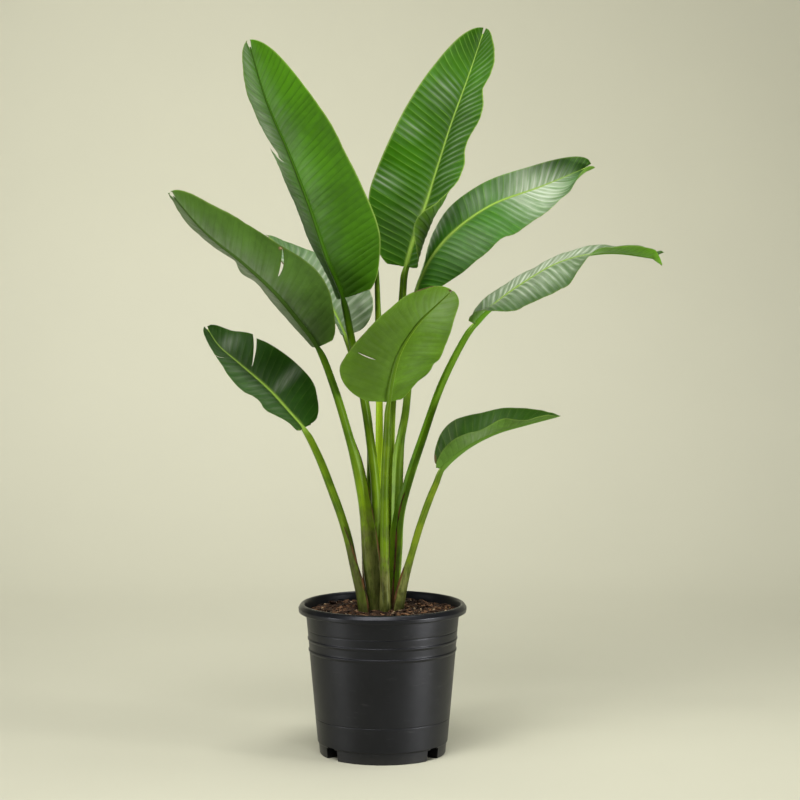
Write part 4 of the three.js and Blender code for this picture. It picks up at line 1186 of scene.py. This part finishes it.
def leaf_material(name, color, tone, rib_color, upper):
    """Leaf skin: veins, mottling, painted sheen, midrib and margin, dry ends, and light through it."""
    material, nodes, surface = new_material(name)
    place = nodes.place()

    # Green with darker places, and veins painted pale on the upper side and dark on the under side,
    # partly as painted highlight on their ridges and painted shade in their furrows
    veins = nodes.group(vein_group(), Map=nodes.uv("veins"), Striping=tone["striping"])
    mottle = nodes.group(mottle_group(), Place=place)["Value"]
    deep = nodes.math("MULTIPLY", nodes.attribute("deep"), 0.9)
    base = nodes.mix(mottle, scaled(color, 0.7), scaled(color, 1.3))
    base = nodes.mix(deep, base, scaled(color, 0.3))
    vein_highlight_color = (color[0] * 2.6 + 0.05, color[1] * 1.9 + 0.06, color[2] * 2 + 0.02)
    main = nodes.math("MULTIPLY", veins["Main"], tone["lines"])
    fine = nodes.math("MULTIPLY", veins["Fine"], 0.22)
    base = nodes.mix(fine, base, scaled(color, 1.5) if upper else scaled(color, 0.6))
    base = nodes.mix(main, base, vein_highlight_color if upper else scaled(color, 0.4))

    # Painted sheen, the light that the blade reflects, then midrib, pale margin and dry brown ends
    painted_sheen_strength = nodes.math("MULTIPLY", nodes.attribute("painted_sheen"), nodes.math("SUBTRACT", 1.0, deep))
    painted_sheen = nodes.math("MULTIPLY", painted_sheen_strength, veins["Sheen"])
    base = nodes.mix(painted_sheen, base, PAINTED_SHEEN_COLOR)
    # The midrib, pale on the upper side; on the under side in the keel colour, which is painted shade
    base = nodes.mix(nodes.attribute("rib"), base, rib_color)
    # Pale margin, partly a painted highlight along the lit rim of the blade
    base = nodes.mix(nodes.math("MULTIPLY", nodes.attribute("edge"), tone["edge"]), base, MARGIN_AND_RIM_HIGHLIGHT_COLOR)
    specks = nodes.math("MULTIPLY", nodes.noise(place, 220.0, 3, 0.6), 0.5)
    worn = nodes.math("ADD", nodes.attribute("dry"), specks)
    dry = nodes.ramp(worn, 0.55, 0.85)
    brown = nodes.mix(nodes.ramp(worn, 0.95, 1.25), DRY_BROWN, DRY_STRAW)
    base = nodes.mix(dry, base, brown)

    # Skin, and the light that comes through the blade
    rough = nodes.math("ADD", nodes.math("MULTIPLY", mottle, 0.08), 0.33 if upper else 0.46)
    bump = nodes.bump(0.5, 0.0003, veins["Height"])
    skin = nodes.add("ShaderNodeBsdfPrincipled", {
        "Base Color": base, "Roughness": rough, "Normal": bump, "IOR": SKIN_IOR,
        "Specular IOR Level": 0.2 if upper else 0.14, "Specular Tint": SKIN_TINT,
        "Coat Weight": 0.06 if upper else 0.0, "Coat Roughness": 0.25}).outputs[0]
    glow = nodes.mix(deep, tone["glow"], scaled(tone["glow"], 0.3))
    glow = nodes.mix(dry, glow, (0.1, 0.06, 0.02))
    through = nodes.add("ShaderNodeBsdfTranslucent", {"Color": glow}).outputs[0]
    nodes.tree.links.new(nodes.add("ShaderNodeMixShader", {0: 0.3, 1: skin, 2: through}).outputs[0], surface)
    return material


def blade_materials(name, tone):
    """Upper side, under side and cut edge of one blade."""
    upper = leaf_material(name + "_upper", tone["upper"], tone, MIDRIB_COLOR, True)
    # The underside of the midrib, painted darker than the under side as painted shade
    keel = scaled(tone["under"], tone["keel"])
    under = leaf_material(name + "_under", tone["under"], tone, keel, False)
    return upper, under, upper


def stalk_material(name, color, keel_color, foot_tone_and_painted_shade):
    """Stalk skin: long streaks, young yellow stretches, dark feet with painted shade, brown sheath edges,
    midrib.
    """
    material, nodes, surface = new_material(name)
    place = nodes.place()
    along = nodes.uv("along")

    # Long dark and light streaks, with lighter places and young yellow stretches over them
    streaks = nodes.noise(nodes.stretch(along, 1.6, 0.06, 1), 1.0, 5, 0.65)
    bands = nodes.ramp(nodes.noise(nodes.stretch(place, 26, 26, 30), 1.0, 3, 0.55), 0.36, 0.64)
    base = nodes.mix(nodes.ramp(streaks, 0.36, 0.64), scaled(color, 0.35), scaled(color, 1.35))
    light = (color[0] * 2.2, color[1] * 1.65, color[2] * 0.9)
    base = nodes.mix(nodes.math("MULTIPLY", bands, 0.6), base, light)
    fading = nodes.ramp(nodes.noise(nodes.stretch(place, 40, 40, 9), 1.0, 2), 0.35, 0.65, 0.55, 1.0)
    # The young yellow also paints a painted highlight along one flank of a midrib
    yellowed = nodes.math("MULTIPLY", nodes.attribute("young"), fading)
    base = nodes.mix(yellowed, base, YOUNG_COLOR)

    # Mottled foot, whose top is ragged, darker on the shaded stalks as painted shade
    low = nodes.attribute("base")
    ragged = nodes.math("ADD", nodes.math("MULTIPLY", bands, -0.5), nodes.math("ADD", low, streaks))
    foot = nodes.ramp(ragged, 0.4, 1.2)
    blotch = nodes.ramp(nodes.noise(nodes.stretch(place, 70, 70, 22), 1.0, 4, 0.7), 0.4, 0.6)
    husky = nodes.mix(blotch, (0.028, 0.024, 0.009), scaled((0.14, 0.14, 0.045), foot_tone_and_painted_shade))
    base = nodes.mix(nodes.math("MULTIPLY", foot, 0.85), base, husky)

    # Brown scars, the papery edges of the sheath, and the midrib
    edges = nodes.noise(nodes.stretch(place, 150, 150, 30), 1.0, 4, 0.65)
    scars = nodes.ramp(nodes.noise(nodes.stretch(along, 1.5, 0.22, 1), 1.0, 4, 0.7), 0.54, 0.66)
    scars = nodes.math("MULTIPLY", scars, nodes.ramp(low, -0.2, 0.6, 0.1, 0.8))
    base = nodes.mix(scars, base, (0.06, 0.04, 0.014))
    husk = nodes.ramp(nodes.math("ADD", nodes.attribute("husk"), edges), 1.2, 1.45)
    papery = nodes.mix(nodes.ramp(edges, 0.42, 0.62), (0.012, 0.007, 0.003), (0.085, 0.038, 0.015))
    base = nodes.mix(husk, base, papery)
    # The keel colour, which holds painted shade on a midrib's underside
    base = nodes.mix(nodes.attribute("keel"), base, keel_color)
    base = nodes.mix(nodes.attribute("rib"), base, MIDRIB_COLOR)

    rough = nodes.ramp(husk, 0.0, 1.0, 0.36, 0.7)
    skin = nodes.add("ShaderNodeBsdfPrincipled", {
        "Base Color": base, "Roughness": rough, "Normal": nodes.bump(0.35, 0.0004, streaks),
        "IOR": SKIN_IOR, "Specular IOR Level": 0.15, "Specular Tint": SKIN_TINT}).outputs[0]
    nodes.tree.links.new(skin, surface)
    return material


def plastic_material():
    """Black satin plastic, glossier on the rim: fine grain, moulding rings, scuffs and a little dust."""
    material, nodes, surface = new_material("pot_plastic")
    place = nodes.place()
    rings = nodes.noise(nodes.stretch(place, 3, 3, 260), 1.0, 3)
    scuffs = nodes.ramp(nodes.noise(nodes.stretch(place, 26, 26, 190), 1.0, 4, 0.65), 0.6, 0.78)
    blotch = nodes.group(mottle_group(), Place=place, Broad=9.0, Fine=60.0)["Value"]
    height = nodes.add("ShaderNodeSeparateXYZ", {0: place}).outputs[2]
    dusty = nodes.math("MULTIPLY", nodes.ramp(height, 0.03, 0.0), nodes.noise(place, 70.0, 4, 0.65))
    base = nodes.mix(blotch, (0.0016, 0.0018, 0.0026), (0.003, 0.0033, 0.0044))
    base = nodes.mix(nodes.math("MULTIPLY", scuffs, 0.35), base, (0.05, 0.05, 0.05))
    base = nodes.mix(nodes.math("MULTIPLY", dusty, 0.25), base, (0.09, 0.085, 0.07))
    grain = nodes.noise(place, 900.0, 2)
    relief = nodes.math("ADD", nodes.math("MULTIPLY", rings, 0.6), nodes.math("MULTIPLY", grain, 0.4))
    bump = nodes.bump(0.25, 0.0003, relief)
    rough = nodes.math("ADD", nodes.math("MULTIPLY", blotch, 0.07), nodes.math("MULTIPLY", scuffs, 0.1))
    rough = nodes.math("ADD", rough, nodes.ramp(height, *RIM_HEIGHTS, 0.37, 0.29))
    skin = nodes.add("ShaderNodeBsdfPrincipled", {
        "Base Color": base, "Roughness": rough, "Normal": bump, "IOR": 1.38,
        "Specular Tint": (0.88, 0.9, 1.0)}).outputs[0]
    nodes.tree.links.new(skin, surface)
    return material


def soil_material(name, tone=None):
    """Dark reddish-brown bark mix. Its pieces differ by their tone, and those over 1 are pale grit."""
    material, nodes, surface = new_material(name)
    place = nodes.place()
    mottle = nodes.group(mottle_group(), Place=place, Broad=60.0, Fine=420.0)["Value"]
    base = nodes.mix(mottle, (0.008, 0.004, 0.002), (0.05, 0.023, 0.011))
    if tone:
        shade = nodes.attribute(tone)
        bark = nodes.mix(mottle, (0.05, 0.022, 0.01), (0.30, 0.155, 0.075))
        base = nodes.mix(nodes.ramp(shade, 0.2, 1.0), base, bark)
        base = nodes.mix(nodes.ramp(shade, 1.3, 1.6), base, (0.45, 0.33, 0.2))
    bump = nodes.bump(0.6, 0.0008, nodes.noise(place, 500.0, 4, 0.65))
    skin = nodes.add("ShaderNodeBsdfPrincipled", {
        "Base Color": base, "Roughness": 0.85, "Normal": bump, "Specular IOR Level": 0.3}).outputs[0]
    nodes.tree.links.new(skin, surface)
    return material


def paper_material(color):
    """Matt paper, clear from behind so that the plant can be looked at from the back too."""
    material, nodes, surface = new_material("backdrop_paper")
    fibre = nodes.noise(nodes.place(), 4.0, 3)
    tint = nodes.mix(fibre, scaled(color, 0.985), scaled(color, 1.015))
    skin = nodes.add("ShaderNodeBsdfPrincipled", {
        "Base Color": tint, "Roughness": 0.95, "Specular IOR Level": 0.1}).outputs[0]
    behind = nodes.add("ShaderNodeNewGeometry").outputs["Backfacing"]
    clear = nodes.add("ShaderNodeBsdfTransparent").outputs[0]
    nodes.tree.links.new(nodes.add("ShaderNodeMixShader", {0: behind, 1: skin, 2: clear}).outputs[0], surface)
    return material


# Stage


def soft_light(name, place, target, width, height, power, spread_angle):
    """A soft box that hangs at a place and points at its target."""
    light = bpy.data.lights.new(name, "AREA")
    light.shape = "RECTANGLE"
    light.size, light.size_y = width, height
    light.energy = power
    light.spread = math.radians(spread_angle)
    light.color = (1, 0.99, 0.96)
    lamp = bpy.data.objects.new(name, light)
    lamp.location = place
    lamp.rotation_euler = (Vector(target) - Vector(place)).to_track_quat("-Z", "Y").to_euler()
    bpy.context.scene.collection.objects.link(lamp)


def hang_backdrop(settings):
    """One sheet of paper, its face towards the plant: the floor, a wide bend and the wall."""
    bm = bmesh.new()
    verts = [bm.verts.new((-BACKDROP_HALF, y, z)) for y, z in BACKDROP]
    edges = [bm.edges.new(pair) for pair in zip(verts, verts[1:])]
    swept = bmesh.ops.extrude_edge_only(bm, edges=edges)["geom"]
    moved = [v for v in swept if isinstance(v, bmesh.types.BMVert)]
    bmesh.ops.translate(bm, verts=moved, vec=(2 * BACKDROP_HALF, 0, 0))
    bmesh.ops.recalc_face_normals(bm, faces=bm.faces)
    bmesh.ops.reverse_faces(bm, faces=bm.faces)
    for face in bm.faces:
        face.smooth = True
    backdrop = finish_mesh(bm, "backdrop", [paper_material(settings.backdrop)], scale=1)
    bend = backdrop.modifiers.new("Bend", "SUBSURF")
    bend.levels = bend.render_levels = 2


def set_camera(scene, settings):
    """The camera, in front of the plant at the height of its leaves and looking down a little."""
    lens = bpy.data.cameras.new("camera")
    lens.sensor_fit = "HORIZONTAL"
    lens.sensor_width = 36
    lens.lens = settings.lens
    lens.clip_end = 50
    camera = bpy.data.objects.new("camera", lens)
    camera.location = CAMERA_PLACE
    camera.rotation_euler = (math.radians(90) - CAMERA_DIP, 0, 0)
    scene.collection.objects.link(camera)
    scene.camera = camera


# Operators


class PLANT_OT_leaves(Operator):
    """Grow every leaf: a pleated blade on its stalk and midrib"""

    bl_idname = "plant.leaves"
    bl_label = "Grow leaves"

    def execute(self, context):
        settings = context.scene.plant.leaf
        for name, leaf in LEAVES.items():
            line = leaf_line(leaf)
            for piece in (grow_blade(name, leaf, line, settings), grow_stalk(name, leaf, line, settings)):
                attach(piece, "root")
                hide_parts("leaf_" + name)
        return {"FINISHED"}


class PLANT_OT_spear(Operator):
    """Grow the rolled new leaf in the middle"""

    bl_idname = "plant.spear"
    bl_label = "Grow new leaf"

    def execute(self, context):
        piece = grow_spear(context.scene.plant.leaf)
        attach(piece, "root")
        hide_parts("leaf_new_spear")
        return {"FINISHED"}


class PLANT_OT_pot(Operator):
    """Mould the nursery pot"""

    bl_idname = "plant.pot"
    bl_label = "Mould pot"

    def execute(self, context):
        piece = mould_pot(context.scene.plant.pot)
        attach(piece, "root")
        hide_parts("pot")
        return {"FINISHED"}


class PLANT_OT_soil(Operator):
    """Fill the pot with soil and scatter bark over it"""

    bl_idname = "plant.soil"
    bl_label = "Fill with soil"

    def execute(self, context):
        settings = context.scene.plant.soil
        for piece in (bed_soil(settings), scatter_soil(settings)):
            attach(piece, "root")
            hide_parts("soil")
        return {"FINISHED"}


class PLANT_OT_stage(Operator):
    """Set the pale backdrop, the soft lights and the camera"""

    bl_idname = "plant.stage"
    bl_label = "Set the stage"

    def execute(self, context):
        scene = context.scene
        settings = scene.plant.stage
        hang_backdrop(settings)
        set_camera(scene, settings)
        for light in LIGHTS:
            soft_light(*light)
        world = bpy.data.worlds.new("studio")
        world.use_nodes = True
        background = world.node_tree.nodes["Background"]
        background.inputs[0].default_value = (0.95, 0.95, 0.90, 1)
        background.inputs[1].default_value = settings.fill
        scene.world = world
        scene.view_settings.view_transform = "Standard"
        scene.view_settings.look = "None"
        return {"FINISHED"}


class PLANT_PT_panel(Panel):
    """Settings and operators of the plant"""

    bl_label = "Potted bird of paradise"
    bl_idname = "PLANT_PT_panel"
    bl_space_type = "VIEW_3D"
    bl_region_type = "UI"
    bl_category = "Plant"

    def draw(self, context):
        layout = self.layout
        plant = context.scene.plant
        for group in (plant.leaf, plant.pot, plant.soil, plant.stage):
            box = layout.box()
            for key in group.__annotations__:
                box.prop(group, key)
        for operator in OPERATORS:
            layout.operator(operator.bl_idname)


OPERATORS = (PLANT_OT_leaves, PLANT_OT_spear, PLANT_OT_pot, PLANT_OT_soil, PLANT_OT_stage)
CLASSES = (LeafSettings, PotSettings, SoilSettings, StageSettings, PlantSettings, *OPERATORS, PLANT_PT_panel)


def register():
    for cls in CLASSES:
        bpy.utils.register_class(cls)
    bpy.types.Scene.plant = PointerProperty(type=PlantSettings)


def unregister():
    del bpy.types.Scene.plant
    for cls in reversed(CLASSES):
        bpy.utils.unregister_class(cls)


def main():
    register()
    bpy.ops.plant.leaves()
    bpy.ops.plant.spear()
    bpy.ops.plant.pot()
    bpy.ops.plant.soil()
    bpy.ops.plant.stage()
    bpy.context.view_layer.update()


if __name__ == "__main__":
    main()
